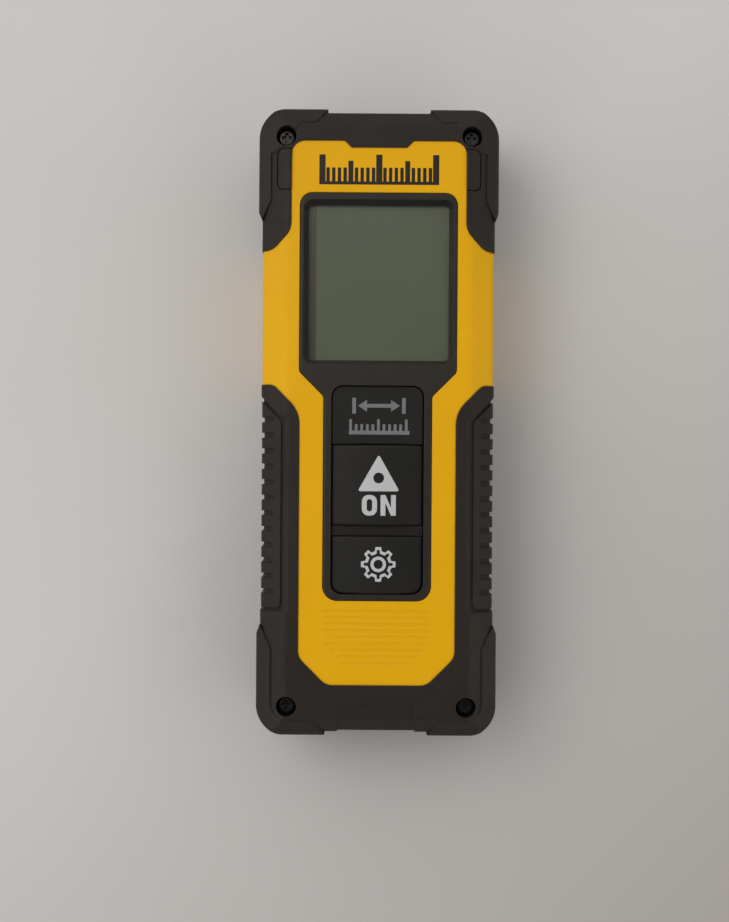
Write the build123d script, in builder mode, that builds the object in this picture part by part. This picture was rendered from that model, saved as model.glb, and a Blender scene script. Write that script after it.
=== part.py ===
"""Pocket laser distance meter with two keys, a plain display and a battery bay for two AAA cells.

Frame: the meter lies on its back. +Z points out of the display, +Y towards the laser end, +X to the
right of a person reading the display. The origin is at the middle of the back. Millimetres.
"""

import os
from math import sqrt

from build123d import *

os.makedirs("parts", exist_ok=True)

# ---- Overall form ----------------------------------------------------------------------------------
LENGTH = 111.4  # over the end bumpers
WIDTH = 43.0  # over the side bumpers
HEIGHT = 24.0  # from the back to the crown of the larger key
PARTING = 12.4  # height of the joint between the two housing halves

BUMPER_PROUD = 0.8  # how far the bumpers stand outside the bare housing
BUMPER_LIFT = 0.25  # how far they stand above the bare front face
KEY_PROUD = 0.5  # how far the larger key's crown stands above it
SKIN_PROUD = 0.15  # the same for the soft overmold between the bumpers
SIDE = WIDTH / 2 - BUMPER_PROUD
END = LENGTH / 2 - BUMPER_PROUD
FACE = HEIGHT - KEY_PROUD
CORNER = 4.8  # plan radius of the bare housing's corners

FLAT_HALF = 16.4  # half-width of the flat front face
SHOULDER_DROP = 2.7  # fall of the sloping shoulder from there to the side
END_FLAT = 52.5  # half-length of the flat front face
END_DROP = 1.5  # fall of the end slope
BACK_FLAT = 17.6  # half-width of the flat back
BACK_RISE = 3.2  # height of the back's edge slope
BACK_END_FLAT = 53.0
CREASE_ROUND = 2.0
SHOULDER_ROUND = 2.0
END_ROUND = 0.9
LEAN = 0.35
TUCK = 0.06

OVERMOLD_DEPTH = 1.0  # depth of the housing's recess under the overmold
WALL = 1.5
CAVITY_DEPTH = OVERMOLD_DEPTH + WALL
GAP = 0.05  # fit of glued and snapped pieces

# ---- Joint between yellow housing and black overmold, in plan ----------------------------------------
OPENING_TOP = 49.76  # upper edge of the yellow front
TAB_EDGE = 48.56  # the overmold's middle tab dips to here
TAB_HALF = 4.9
UPPER_HALF = 15.5  # half-width of the yellow beside the display
UPPER_END = 30.45  # lower end of the upper overmold at the side
LOWER_START = 6.6  # upper end of the lower overmold at the side
LOWER_HALF = 13.85  # half-width of the yellow beside the keypad
OPENING_BOTTOM = -46.55
BOTTOM_CHAMFER = 4.95
OUTSIDE = WIDTH  # anything beyond the meter's side

# ---- Display and keypad ------------------------------------------------------------------------------
BEZEL_TOP = 40.57
BEZEL_BOTTOM = -31.61
BEZEL_HALF = 13.93
NECK_HALF = 9.58
NECK_START = 4.55  # where the 45 degree shoulders meet the neck
BEZEL_LIFT = 0.15
BEZEL_ROUND = 0.4
WELL_LEAN = 24  # degrees that the window's walls lean outwards
BEZEL_SEAT = FACE - 1.6
LEDGE = 0.7  # width of the shelf that carries the bezel
WINDOW_TOP = 38.6
WINDOW_BOTTOM = 11.0
WINDOW_HALF = 12.5
WINDOW_THICK = 0.8
KEYHOLE_TOP = 6.5
KEYHOLE_BOTTOM = -30.5
KEYHOLE_HALF = 8.2
KEY_GAP = 0.12
KEY_CORNER = 1.9
LABEL_END = -3.95  # lower edge of the fixed label block
VALLEY_START = -18.3
VALLEY_END = -20.1
KEYPAD_FLOOR = 20.1
KEYPAD_PLATE = 0.8
KEY_ROUND = 0.4
BLOCK_ROUND = 0.25
KEY_SPLIT = 0.08  # gap between the keys and the fixed blocks above and below them
LABEL_HEIGHT = FACE - 0.15
VALLEY_HEIGHT = FACE - 0.6
KEY_CROWN = HEIGHT
KEY_EDGE = FACE - 0.35
STEM_RADIUS = 1.5

# ---- Screws ------------------------------------------------------------------------------------------
SCREW_SPOTS = [(-16.45, 50.6), (16.45, 50.6), (-15.9, -50.45), (15.9, -50.45)]
SCREW_HOLE_RADIUS = 1.8
SCREW_HEAD_RADIUS = 1.6
SCREW_HEAD_TOP = FACE - 2.2
SCREW_HEAD_HEIGHT = 1.2
SCREW_RADIUS = 1.0
SCREW_CLEARANCE = 1.15
SCREW_TIP = 5.0
SCREW_HOLE_END = SCREW_TIP - 1.0
SCREW_SEAT = SCREW_HEAD_TOP - SCREW_HEAD_HEIGHT
SLEEVE_RADIUS = 2.2  # the overmold lines each screw hole out to here
BOSS_RADIUS = 2.9

# ---- Electronics -------------------------------------------------------------------------------------
BOARD_HALF = 15.6
BOARD_TOP_EDGE = 43.0
BOARD_LOW_EDGE = -38.0
BOARD_FLOOR = 16.4
BOARD_THICK = 1.0
BOARD_ROUND = 1.5
BOARD_TOP = BOARD_FLOOR + BOARD_THICK
DOME_RADIUS = 3.0
DOME_HEIGHT = 0.45
MEASURE_CENTRE = (LABEL_END + VALLEY_START) / 2
SETTINGS_CENTRE = (VALLEY_END + KEYHOLE_BOTTOM) / 2

# ---- Battery bay -------------------------------------------------------------------------------------
CELL_RADIUS = 5.2
CELL_LENGTH = 44.5
CELL_SPACING = 10.9
CELL_AXIS = 7.3
BAY_HALF = 11.2
BAY_LOW = -49.4
BAY_HIGH = -1.0
BAY_CEILING = 12.7
BAY_WALL = 1.2
CONTACT_THICK = 0.3
DOOR_BOTTOM = 0.2  # the door lies this far inside the back face
DOOR_THICK = 1.5
DOOR_HALF = 12.4
DOOR_AXIS_Y = BAY_LOW - 0.9
DOOR_AXIS_Z = DOOR_BOTTOM + DOOR_THICK / 2
DOOR_FREE_END = BAY_HIGH + 1.2
DOOR_GAP = 0.15
PIVOT_RADIUS = 0.5
PIVOT_REACH = 0.8

# ---- Optics ------------------------------------------------------------------------------------------
OPTICS_AXIS = 7.2
LASER_X = -5.4
RECEIVER_X = 2.9
APERTURE_HALF = 8.0
APERTURE_LOW = 2.6
APERTURE_HIGH = 11.8
CHASSIS_HALF = 9.4
CHASSIS_LOW = 14.0
CHASSIS_HIGH = 51.3
CHASSIS_FLOOR = 2.1
CHASSIS_TOP = 12.2
LENS_RADIUS = 4.2
COLLIMATOR_RADIUS = 2.0
BARREL_RADIUS = 2.6


def save(piece, label):
    """Name a finished piece and write its file."""
    piece.label = label
    export_step(piece, f"parts/{label}.step")


def zone_of(block, outline):
    """The part of a block that lies inside a plan outline."""
    with BuildPart() as zone:
        add(block)
        extrude(outline, amount=2 * HEIGHT, both=True, mode=Mode.INTERSECT)
    return zone.part


def sunk_zone(outline, block, low, high):
    """What lies inside a plan outline, between two heights, and outside a block."""
    with BuildPart() as zone:
        with BuildSketch(Plane.XY.offset(low)):
            add(outline)
        extrude(amount=high - low)
        add(block, mode=Mode.SUBTRACT)
    return zone.part


def plate(outline, low, high):
    """A flat plate of a plan outline between two heights."""
    with BuildPart() as flat:
        with BuildSketch(Plane.XY.offset(low)):
            add(outline)
        extrude(amount=high - low)
    return flat.part


def near(sketch, x, y):
    """The corners of a symmetrical sketch nearest to a point and its mirror image."""
    right = sketch.vertices().sort_by_distance((x, y, 0))[0]
    left = sketch.vertices().sort_by_distance((-x, y, 0))[0]
    return [right, left]


def form_section(plane, edge, flat_half, face, fall, base, rounds):
    """Section of a housing half: a flat face, a slope falling away on each side, and upright sides.

    The lines lean a little, so that they cross the sides and the face of a block instead of lying on them.
    """
    outward = 1 if face > base else -1
    flat = min(flat_half, edge - TUCK - fall / 2)
    with BuildSketch(plane) as section:
        with BuildLine():
            Polyline(
                (-edge - LEAN, base),
                (-edge + TUCK, face - outward * fall),
                (-flat, face - outward * TUCK),
                (0, face + outward * LEAN),
                (flat, face - outward * TUCK),
                (edge - TUCK, face - outward * fall),
                (edge + LEAN, base),
                close=True,
            )
        make_face()
        for x, y, radius in ((flat, face - outward * TUCK, rounds[0]),
                             (edge - TUCK, face - outward * fall, rounds[1])):
            fillet(near(section, x, y), radius=radius)
    return section.sketch


def housing_block(proud, face, base, falls, flats, rounds):
    """A housing half's form: rounded corners in plan, with slopes at the sides and ends."""
    edge = SIDE + proud
    end = END + proud
    beyond = 2 * base - face
    with BuildPart() as block:
        with BuildSketch(Plane.XY.offset(base)):
            RectangleRounded(2 * edge, 2 * end, CORNER + proud)
        extrude(amount=face - base)
        extrude(form_section(Plane.XZ, edge, flats[0], face, falls[0], beyond, rounds[0]),
                amount=LENGTH, both=True, mode=Mode.INTERSECT)
        extrude(form_section(Plane.YZ, end, flats[1], face, falls[1], beyond, rounds[1]),
                amount=WIDTH, both=True, mode=Mode.INTERSECT)
    return block.part


def front_block(proud, lift):
    """The front half's form, offset outwards by proud and upwards by lift."""
    return housing_block(proud, FACE + lift, PARTING, (SHOULDER_DROP, END_DROP), (FLAT_HALF, END_FLAT),
                         ((CREASE_ROUND, SHOULDER_ROUND), (CREASE_ROUND, END_ROUND)))


def rear_block(proud, floor):
    """The rear half's form, offset outwards by proud, with its back at height floor."""
    return housing_block(proud, floor, PARTING, (BACK_RISE, END_DROP), (BACK_FLAT, BACK_END_FLAT),
                         ((CREASE_ROUND, SHOULDER_ROUND), (END_ROUND, END_ROUND)))


def mirrored_outline(right_half):
    """A closed loop of points from its right-hand half, listed from top to bottom."""
    left_half = [(-x, y) for x, y in reversed(right_half)]
    return right_half + left_half


# ---- Plan outlines -----------------------------------------------------------------------------------
SHOULDER_RUN = 3.45  # sideways run of the 45 degree ends of the upper overmold
LOWER_RUN = 4.72  # the same for the lower overmold
OPENING_ROUND = 2.4
SHOULDER_INNER_ROUND = 3.5
SHOULDER_OUTER_ROUND = 3.0
LOWER_OUTER_ROUND = 2.0
LOWER_INNER_ROUND = 5.5
BOTTOM_ROUND = 2.7
BACK_BOTTOM_ROUND = 1.2

with BuildSketch() as yellow_front:
    with BuildLine():
        Polyline(
            *mirrored_outline([
                (TAB_HALF, TAB_EDGE),
                (TAB_HALF + OPENING_TOP - TAB_EDGE, OPENING_TOP),
                (UPPER_HALF, OPENING_TOP),
                (UPPER_HALF, UPPER_END + SHOULDER_RUN),
                (UPPER_HALF + SHOULDER_RUN, UPPER_END),
                (OUTSIDE, UPPER_END),
                (OUTSIDE, LOWER_START),
                (LOWER_HALF + LOWER_RUN, LOWER_START),
                (LOWER_HALF, LOWER_START - LOWER_RUN),
                (LOWER_HALF, OPENING_BOTTOM + BOTTOM_CHAMFER),
                (LOWER_HALF - BOTTOM_CHAMFER, OPENING_BOTTOM),
            ]),
            close=True,
        )
    make_face()
    fillet(near(yellow_front, UPPER_HALF, OPENING_TOP), radius=OPENING_ROUND)
    fillet(near(yellow_front, UPPER_HALF, UPPER_END + SHOULDER_RUN), radius=SHOULDER_INNER_ROUND)
    fillet(near(yellow_front, UPPER_HALF + SHOULDER_RUN, UPPER_END), radius=SHOULDER_OUTER_ROUND)
    fillet(near(yellow_front, LOWER_HALF + LOWER_RUN, LOWER_START), radius=LOWER_OUTER_ROUND)
    fillet(near(yellow_front, LOWER_HALF, LOWER_START - LOWER_RUN), radius=LOWER_INNER_ROUND)
    fillet(near(yellow_front, LOWER_HALF, OPENING_BOTTOM + BOTTOM_CHAMFER), radius=BOTTOM_ROUND)
    fillet(near(yellow_front, LOWER_HALF - BOTTOM_CHAMFER, OPENING_BOTTOM), radius=BOTTOM_ROUND)

BACK_OPENING_TOP = 47.0
BACK_OPENING_HALF = 14.4
BACK_OPENING_BOTTOM = -52.4
with BuildSketch() as yellow_back:
    with BuildLine():
        Polyline(
            *mirrored_outline([
                (BACK_OPENING_HALF, BACK_OPENING_TOP),
                (BACK_OPENING_HALF, UPPER_END + SHOULDER_RUN),
                (BACK_OPENING_HALF + SHOULDER_RUN, UPPER_END),
                (OUTSIDE, UPPER_END),
                (OUTSIDE, LOWER_START),
                (LOWER_HALF + LOWER_RUN, LOWER_START),
                (BACK_OPENING_HALF, LOWER_START - LOWER_RUN),
                (BACK_OPENING_HALF, BACK_OPENING_BOTTOM),
            ]),
            close=True,
        )
    make_face()
    fillet(near(yellow_back, BACK_OPENING_HALF, BACK_OPENING_TOP), radius=OPENING_ROUND)
    fillet(near(yellow_back, BACK_OPENING_HALF, UPPER_END + SHOULDER_RUN), radius=SHOULDER_OUTER_ROUND)
    fillet(near(yellow_back, BACK_OPENING_HALF + SHOULDER_RUN, UPPER_END), radius=SHOULDER_OUTER_ROUND)
    fillet(near(yellow_back, BACK_OPENING_HALF, BACK_OPENING_BOTTOM), radius=BACK_BOTTOM_ROUND)

MIDDLE = (UPPER_END + LOWER_START) / 2
with BuildSketch() as upper_zone:
    with Locations((0, MIDDLE + LENGTH / 2)):
        Rectangle(2 * OUTSIDE, LENGTH)
with BuildSketch() as lower_zone:
    with Locations((0, MIDDLE - LENGTH / 2)):
        Rectangle(2 * OUTSIDE, LENGTH)

# Corner bumpers: everything outside a line 2.3 mm in from the side, with tapered ends.
UPPER_LINE = 19.25
LOWER_LINE = 18.85
BUMPER_LINE_END = 53.1
UPPER_TAPER = 39.4
UPPER_FADE = 36.0  # the upper bumpers have run out into the side here
LOWER_TAPER = -40.3
LOWER_FADE = -36.2
FADE_SLOPE = 2.5  # run along Y for each unit that a bumper's end rises out of the side
END_TAPER = 11.2
TAPER = 2.7
LINE_ROUND = 3.2
SKIN_SIDE = SIDE + SKIN_PROUD
FADE_RUN = FADE_SLOPE * (OUTSIDE - SKIN_SIDE)
END_SPLAY = 0.8  # how far the end bumpers widen towards the end, for each unit along Y
END_REACH = END_TAPER - (LENGTH - BUMPER_LINE_END) * END_SPLAY
CORNER_LAND = 47.6  # the upper bumpers widen to the whole corner above this line
with BuildSketch() as upper_bumpers:
    with BuildLine():
        Polyline(
            (END_TAPER, BUMPER_LINE_END),
            (END_TAPER + TAPER, BUMPER_LINE_END),
            (UPPER_LINE - TAPER, CORNER_LAND + TAPER / 2),
            (UPPER_LINE, CORNER_LAND),
            (UPPER_LINE, UPPER_TAPER),
            (SKIN_SIDE, UPPER_FADE),
            (OUTSIDE, UPPER_FADE + FADE_RUN),
            (OUTSIDE, LENGTH),
            (END_REACH, LENGTH),
            close=True,
        )
    make_face()
    mirror(about=Plane.YZ)
with BuildSketch() as lower_bumpers:
    with BuildLine():
        Polyline(
            (END_TAPER, -BUMPER_LINE_END),
            (LOWER_LINE, -BUMPER_LINE_END),
            (LOWER_LINE, LOWER_TAPER),
            (SKIN_SIDE, LOWER_FADE),
            (OUTSIDE, LOWER_FADE - FADE_RUN),
            (OUTSIDE, -LENGTH),
            (END_REACH, -LENGTH),
            close=True,
        )
    make_face()
    inner_corner = lower_bumpers.vertices().sort_by_distance((LOWER_LINE, -BUMPER_LINE_END, 0))[0]
    fillet(inner_corner, radius=LINE_ROUND)
    mirror(about=Plane.YZ)

# Raised tabs beside the display, each in a groove in the upper overmold.
TAB_INNER = UPPER_HALF - 1.0  # the tabs start under the yellow
TAB_OUTER = 17.9
TAB_TOP = 48.2
TAB_LOW = 41.2
TAB_LIFT = 0.3
TAB_GROOVE = 0.22
TAB_SINK = 0.15
TAB_ROUND = 1.0


def tab_outline(grow):
    """Plan of both tabs, made larger by grow."""
    with BuildSketch() as tab:
        with BuildLine():
            Polyline(
                (TAB_INNER, TAB_TOP + grow),
                (TAB_OUTER + grow, TAB_TOP + grow),
                (TAB_OUTER + grow, TAB_LOW - grow),
                (TAB_INNER, TAB_LOW - grow),
                close=True,
            )
        make_face()
        fillet(tab.vertices().group_by(Axis.X)[-1], radius=TAB_ROUND + grow)
        mirror(about=Plane.YZ)
    return tab.sketch


# Grip panels: sunk into the lower overmold, with a groove round them and notches across their edge.
GRIP_INNER = 16.55
GRIP_TOP = 4.45  # where the panel's 45 degree top reaches the side
GRIP_BOTTOM = -33.65
GRIP_GROOVE = 0.55
GRIP_SINK = 0.3
GROOVE_SINK = 0.6
GROOVE_LEAN = 48  # degrees that the groove's outer wall leans back
GRIP_ROUND = 0.9
GRIP_TOP_SHIFT = 1.4  # how much further the sloping top moves than the other edges
NOTCH_COUNT = 12
NOTCH_FIRST = 0.44
NOTCH_PITCH = 2.787
NOTCH_INNER = 18.3
NOTCH_WIDTH = 0.95
NOTCH_SINK = 0.75


def grip_outline(inset):
    """Plan of both grip panels, made smaller by inset."""
    inner = GRIP_INNER + inset
    top = GRIP_TOP - inset * GRIP_TOP_SHIFT
    with BuildSketch() as panel:
        with BuildLine():
            Polyline(
                (OUTSIDE, top + OUTSIDE - SIDE),
                (inner, top - (SIDE - inner)),
                (inner, GRIP_BOTTOM + inset),
                (OUTSIDE, GRIP_BOTTOM + inset),
                close=True,
            )
        make_face()
        fillet(panel.vertices().group_by(Axis.X)[0], radius=GRIP_ROUND)
        mirror(about=Plane.YZ)
    return panel.sketch


with BuildSketch() as grip_notches:
    for index in range(NOTCH_COUNT):
        with Locations((NOTCH_INNER + OUTSIDE / 2, NOTCH_FIRST - index * NOTCH_PITCH)):
            SlotOverall(OUTSIDE, NOTCH_WIDTH)
    mirror(about=Plane.YZ)

# Sunk pad in the middle of the lower end.
PAD_HALF = 6.9
PAD_EDGE = -49.7
PAD_SINK = 0.22
PAD_ROUND = 1.0
with BuildSketch() as lower_pad:
    with Locations((0, PAD_EDGE - LENGTH / 2)):
        Rectangle(2 * PAD_HALF, LENGTH)
    fillet(lower_pad.vertices().group_by(Axis.Y)[-1], radius=PAD_ROUND)

BEZEL_TOP_ROUND = 2.2
BEZEL_WAIST_ROUND = 1.2
BEZEL_FOOT_ROUND = 2.6
WINDOW_ROUND = 0.8

with BuildSketch() as bezel_outline:
    with BuildLine():
        Polyline(
            *mirrored_outline([
                (BEZEL_HALF, BEZEL_TOP),
                (BEZEL_HALF, NECK_START + BEZEL_HALF - NECK_HALF),
                (NECK_HALF, NECK_START),
                (NECK_HALF, BEZEL_BOTTOM),
            ]),
            close=True,
        )
    make_face()
    fillet(near(bezel_outline, BEZEL_HALF, BEZEL_TOP), radius=BEZEL_TOP_ROUND)
    fillet(near(bezel_outline, BEZEL_HALF, NECK_START + BEZEL_HALF - NECK_HALF), radius=BEZEL_WAIST_ROUND)
    fillet(near(bezel_outline, NECK_HALF, NECK_START), radius=BEZEL_WAIST_ROUND)
    fillet(near(bezel_outline, NECK_HALF, BEZEL_BOTTOM), radius=BEZEL_FOOT_ROUND)

with BuildSketch() as window_outline:
    with Locations((0, (WINDOW_TOP + WINDOW_BOTTOM) / 2)):
        RectangleRounded(2 * WINDOW_HALF, WINDOW_TOP - WINDOW_BOTTOM, WINDOW_ROUND)

with BuildSketch() as keyhole_outline:
    with Locations((0, (KEYHOLE_TOP + KEYHOLE_BOTTOM) / 2)):
        RectangleRounded(2 * KEYHOLE_HALF, KEYHOLE_TOP - KEYHOLE_BOTTOM, KEY_CORNER + KEY_GAP)

front_skin = front_block(SKIN_PROUD, SKIN_PROUD)
front_core = front_block(-OVERMOLD_DEPTH, -OVERMOLD_DEPTH)
front_bare = front_block(0, 0)
rear_skin = rear_block(SKIN_PROUD, 0)
rear_core = rear_block(-OVERMOLD_DEPTH, OVERMOLD_DEPTH)
rear_bare = rear_block(0, 0)


def screw_columns(radius, low, high):
    """Round columns at the four corner screws."""
    with BuildPart() as columns:
        with BuildSketch(Plane.XY.offset(low)):
            with Locations(*SCREW_SPOTS):
                Circle(radius)
        extrude(amount=high - low)
    return columns.part


# ---- Yellow front housing ----------------------------------------------------------------------------
RIB_COUNT = 9
RIB_FIRST = -33.5
RIB_PITCH = 1.148
RIB_HALF = 9.2
RIB_SHORTENING = 1.12  # each of the last three grooves is this much shorter at each end
RIB_WIDTH = 0.45
RIB_DEPTH = 0.05
SHORT_RIBS = 4
with BuildPart() as front_bosses:
    add(screw_columns(BOSS_RADIUS, PARTING, FACE))
    add(front_core, mode=Mode.INTERSECT)
with BuildPart() as front_housing:
    add(front_bare)
    extrude(yellow_front.sketch, amount=2 * HEIGHT, mode=Mode.INTERSECT)
    add(front_core)
    add(front_block(-CAVITY_DEPTH, -CAVITY_DEPTH), mode=Mode.SUBTRACT)
    add(front_bosses.part)
    add(screw_columns(SCREW_CLEARANCE, PARTING, HEIGHT), mode=Mode.SUBTRACT)
    add(screw_columns(SLEEVE_RADIUS, SCREW_SEAT, HEIGHT), mode=Mode.SUBTRACT)
    with BuildSketch(Plane.XY.offset(BEZEL_SEAT)):
        add(bezel_outline.sketch)
        offset(amount=GAP)
    extrude(amount=HEIGHT, mode=Mode.SUBTRACT)
    with BuildSketch(Plane.XY.offset(PARTING)):
        add(bezel_outline.sketch)
        offset(amount=-LEDGE)
    extrude(amount=HEIGHT, mode=Mode.SUBTRACT)
    with BuildSketch(Plane.XY.offset(FACE - RIB_DEPTH)):
        for index in range(RIB_COUNT):
            shortening = RIB_SHORTENING * max(0, index - RIB_COUNT + SHORT_RIBS)
            with Locations((0, RIB_FIRST - index * RIB_PITCH)):
                SlotOverall(2 * (RIB_HALF - shortening), RIB_WIDTH)
    extrude(amount=HEIGHT, mode=Mode.SUBTRACT)
save(front_housing.part, "front_housing")

# ---- Black overmolds, front halves -------------------------------------------------------------------
bumper_block = front_block(BUMPER_PROUD, BUMPER_LIFT)
with BuildPart() as screw_sleeves:
    add(screw_columns(SLEEVE_RADIUS, SCREW_SEAT, HEIGHT))
    add(front_core, mode=Mode.INTERSECT)
with BuildPart() as upper_overmold:
    add(front_skin)
    add(zone_of(bumper_block, upper_bumpers.sketch))
    add(sunk_zone(tab_outline(TAB_GROOVE), front_block(-TAB_SINK / 2, -TAB_SINK), PARTING, HEIGHT),
        mode=Mode.SUBTRACT)
    add(zone_of(front_block(SKIN_PROUD, TAB_LIFT), tab_outline(0)))
    extrude(yellow_front.sketch, amount=2 * HEIGHT, mode=Mode.SUBTRACT)
    add(front_core, mode=Mode.SUBTRACT)
    add(screw_sleeves.part)
    extrude(upper_zone.sketch, amount=2 * HEIGHT, mode=Mode.INTERSECT)
    add(screw_columns(SCREW_HOLE_RADIUS, PARTING, 2 * HEIGHT), mode=Mode.SUBTRACT)
save(upper_overmold.part, "upper_overmold")

grip_area = grip_outline(0)
with BuildPart() as lower_overmold:
    add(front_skin)
    add(zone_of(bumper_block, lower_bumpers.sketch))
    with BuildSketch(Plane.XY.offset(FACE - GROOVE_SINK)):
        add(grip_area)
    extrude(amount=HEIGHT - FACE + GROOVE_SINK, taper=-GROOVE_LEAN, mode=Mode.SUBTRACT)
    add(sunk_zone(grip_area, front_block(-GROOVE_SINK / 2, -GROOVE_SINK), PARTING, HEIGHT),
        mode=Mode.SUBTRACT)
    add(zone_of(front_block(GAP, -GRIP_SINK), grip_outline(GRIP_GROOVE)))
    add(sunk_zone(grip_notches.sketch, front_block(-NOTCH_SINK / 2, -NOTCH_SINK), PARTING, HEIGHT),
        mode=Mode.SUBTRACT)
    add(sunk_zone(lower_pad.sketch, front_block(SKIN_PROUD - PAD_SINK, SKIN_PROUD - PAD_SINK),
                  PARTING, HEIGHT), mode=Mode.SUBTRACT)
    extrude(yellow_front.sketch, amount=2 * HEIGHT, mode=Mode.SUBTRACT)
    add(front_core, mode=Mode.SUBTRACT)
    add(screw_sleeves.part)
    extrude(lower_zone.sketch, amount=2 * HEIGHT, mode=Mode.INTERSECT)
    add(screw_columns(SCREW_HOLE_RADIUS, PARTING, 2 * HEIGHT), mode=Mode.SUBTRACT)
save(lower_overmold.part, "lower_overmold")

# ---- Rear housing with the battery bay ---------------------------------------------------------------
BOARD_POSTS = [(-13.9, -35.5), (13.9, -35.5), (-13.9, 4.5), (13.9, 4.5)]
POST_RADIUS = 1.7
SMALL_SCREW_RADIUS = 0.8
SMALL_SCREW_CLEARANCE = 0.9
CHASSIS_SPOTS = [(-6.5, 20.0), (8.0, 20.0), (-6.5, 28.0)]
CHASSIS_SCREW_TIP = 0.9
REAR_FLOOR = 2.0
POST_FOOT = 1.5
LABEL_HALF = 12.0
LABEL_LOW = 8.0
LABEL_HIGH = 27.0
LABEL_RECESS = 0.25
LABEL_THICK = 0.15
LABEL_ROUND = 1.5
LABEL_FIT = 0.2
POST_HOLE_DEPTH = 7.0
APERTURE_ROUND = 1.2
GASKET_OUTER = 19.3
GASKET_WIDTH = 0.7
GASKET_DEPTH = 0.4
BAY_MIDDLE = (BAY_LOW + BAY_HIGH) / 2
BAY_LENGTH = BAY_HIGH - BAY_LOW
DOOR_END = DOOR_AXIS_Y - DOOR_THICK / 2 - DOOR_GAP
with BuildSketch() as gasket_ring:
    inset = SIDE - GASKET_OUTER
    RectangleRounded(2 * (SIDE - inset), 2 * (END - inset), CORNER - inset)
    inner = inset + GASKET_WIDTH
    RectangleRounded(2 * (SIDE - inner), 2 * (END - inner), CORNER - inner, mode=Mode.SUBTRACT)
with BuildPart() as rear_bosses:
    add(screw_columns(BOSS_RADIUS, OVERMOLD_DEPTH, PARTING))
    add(rear_core, mode=Mode.INTERSECT)
with BuildPart() as aperture_block:
    with BuildSketch(Plane.XZ.offset(-CHASSIS_HIGH)):
        with Locations((0, (APERTURE_LOW + APERTURE_HIGH) / 2)):
            RectangleRounded(2 * APERTURE_HALF, APERTURE_HIGH - APERTURE_LOW, APERTURE_ROUND)
    extrude(amount=-LENGTH)
with BuildPart() as rear_housing:
    add(rear_bare)
    extrude(yellow_back.sketch, amount=2 * HEIGHT, mode=Mode.INTERSECT)
    add(rear_core)
    add(rear_block(-CAVITY_DEPTH, REAR_FLOOR), mode=Mode.SUBTRACT)
    add(rear_bosses.part)
    with BuildSketch(Plane.XY.offset(OVERMOLD_DEPTH)):
        with Locations((0, BAY_MIDDLE)):
            Rectangle(2 * (BAY_HALF + BAY_WALL), BAY_LENGTH + 2 * BAY_WALL)
    extrude(amount=BAY_CEILING + BAY_WALL - OVERMOLD_DEPTH)
    with BuildSketch(Plane.XY.offset(POST_FOOT)):
        with Locations(*BOARD_POSTS):
            Circle(POST_RADIUS)
    extrude(amount=BOARD_FLOOR - POST_FOOT)
    with BuildSketch(Plane.XY.offset(-HEIGHT)):
        with Locations((0, BAY_MIDDLE)):
            Rectangle(2 * BAY_HALF, BAY_LENGTH)
    extrude(amount=HEIGHT + BAY_CEILING, mode=Mode.SUBTRACT)
    with BuildSketch(Plane.XY.offset(-HEIGHT)):
        with Locations((0, (DOOR_END + DOOR_FREE_END + DOOR_GAP) / 2)):
            Rectangle(2 * (DOOR_HALF + DOOR_GAP), DOOR_FREE_END + DOOR_GAP - DOOR_END)
    extrude(amount=HEIGHT + DOOR_BOTTOM + DOOR_THICK + GAP, mode=Mode.SUBTRACT)
    with BuildSketch(Plane.YZ.offset(-DOOR_HALF - PIVOT_REACH - DOOR_GAP)):
        with Locations((DOOR_AXIS_Y, DOOR_AXIS_Z)):
            Circle(PIVOT_RADIUS + GAP)
    extrude(amount=2 * (DOOR_HALF + PIVOT_REACH + DOOR_GAP), mode=Mode.SUBTRACT)
    add(screw_columns(SCREW_RADIUS, SCREW_HOLE_END, PARTING), mode=Mode.SUBTRACT)
    with BuildSketch(Plane.XY.offset(BOARD_FLOOR)):
        with Locations(*BOARD_POSTS):
            Circle(SMALL_SCREW_RADIUS)
    extrude(amount=-POST_HOLE_DEPTH, mode=Mode.SUBTRACT)
    with BuildSketch(Plane.XY.offset(CHASSIS_SCREW_TIP)):
        with Locations(*CHASSIS_SPOTS):
            Circle(SMALL_SCREW_RADIUS)
    extrude(amount=HEIGHT, mode=Mode.SUBTRACT)
    with BuildSketch(Plane.XY.offset(-HEIGHT)):
        with Locations((0, (LABEL_LOW + LABEL_HIGH) / 2)):
            RectangleRounded(2 * LABEL_HALF, LABEL_HIGH - LABEL_LOW, LABEL_ROUND)
    extrude(amount=HEIGHT + LABEL_RECESS, mode=Mode.SUBTRACT)
    add(plate(gasket_ring.sketch, PARTING - GASKET_DEPTH, PARTING), mode=Mode.SUBTRACT)
    add(aperture_block.part, mode=Mode.SUBTRACT)
save(rear_housing.part, "rear_housing")
save(plate(gasket_ring.sketch, PARTING - GASKET_DEPTH, PARTING), "housing_gasket")

with BuildPart() as blank_label:
    with BuildSketch(Plane.XY.offset(LABEL_RECESS)):
        with Locations((0, (LABEL_LOW + LABEL_HIGH) / 2)):
            RectangleRounded(2 * (LABEL_HALF - LABEL_FIT), LABEL_HIGH - LABEL_LOW - 2 * LABEL_FIT,
                             LABEL_ROUND - LABEL_FIT)
    extrude(amount=-LABEL_THICK)
save(blank_label.part, "blank_label")

rear_bumper_block = rear_block(BUMPER_PROUD, 0)
with BuildPart() as rear_upper_overmold:
    add(rear_skin)
    add(zone_of(rear_bumper_block, upper_bumpers.sketch))
    extrude(upper_zone.sketch, amount=2 * HEIGHT, mode=Mode.INTERSECT)
    extrude(yellow_back.sketch, amount=2 * HEIGHT, mode=Mode.SUBTRACT)
    add(rear_core, mode=Mode.SUBTRACT)
    add(aperture_block.part, mode=Mode.SUBTRACT)
save(rear_upper_overmold.part, "rear_upper_overmold")

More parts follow.
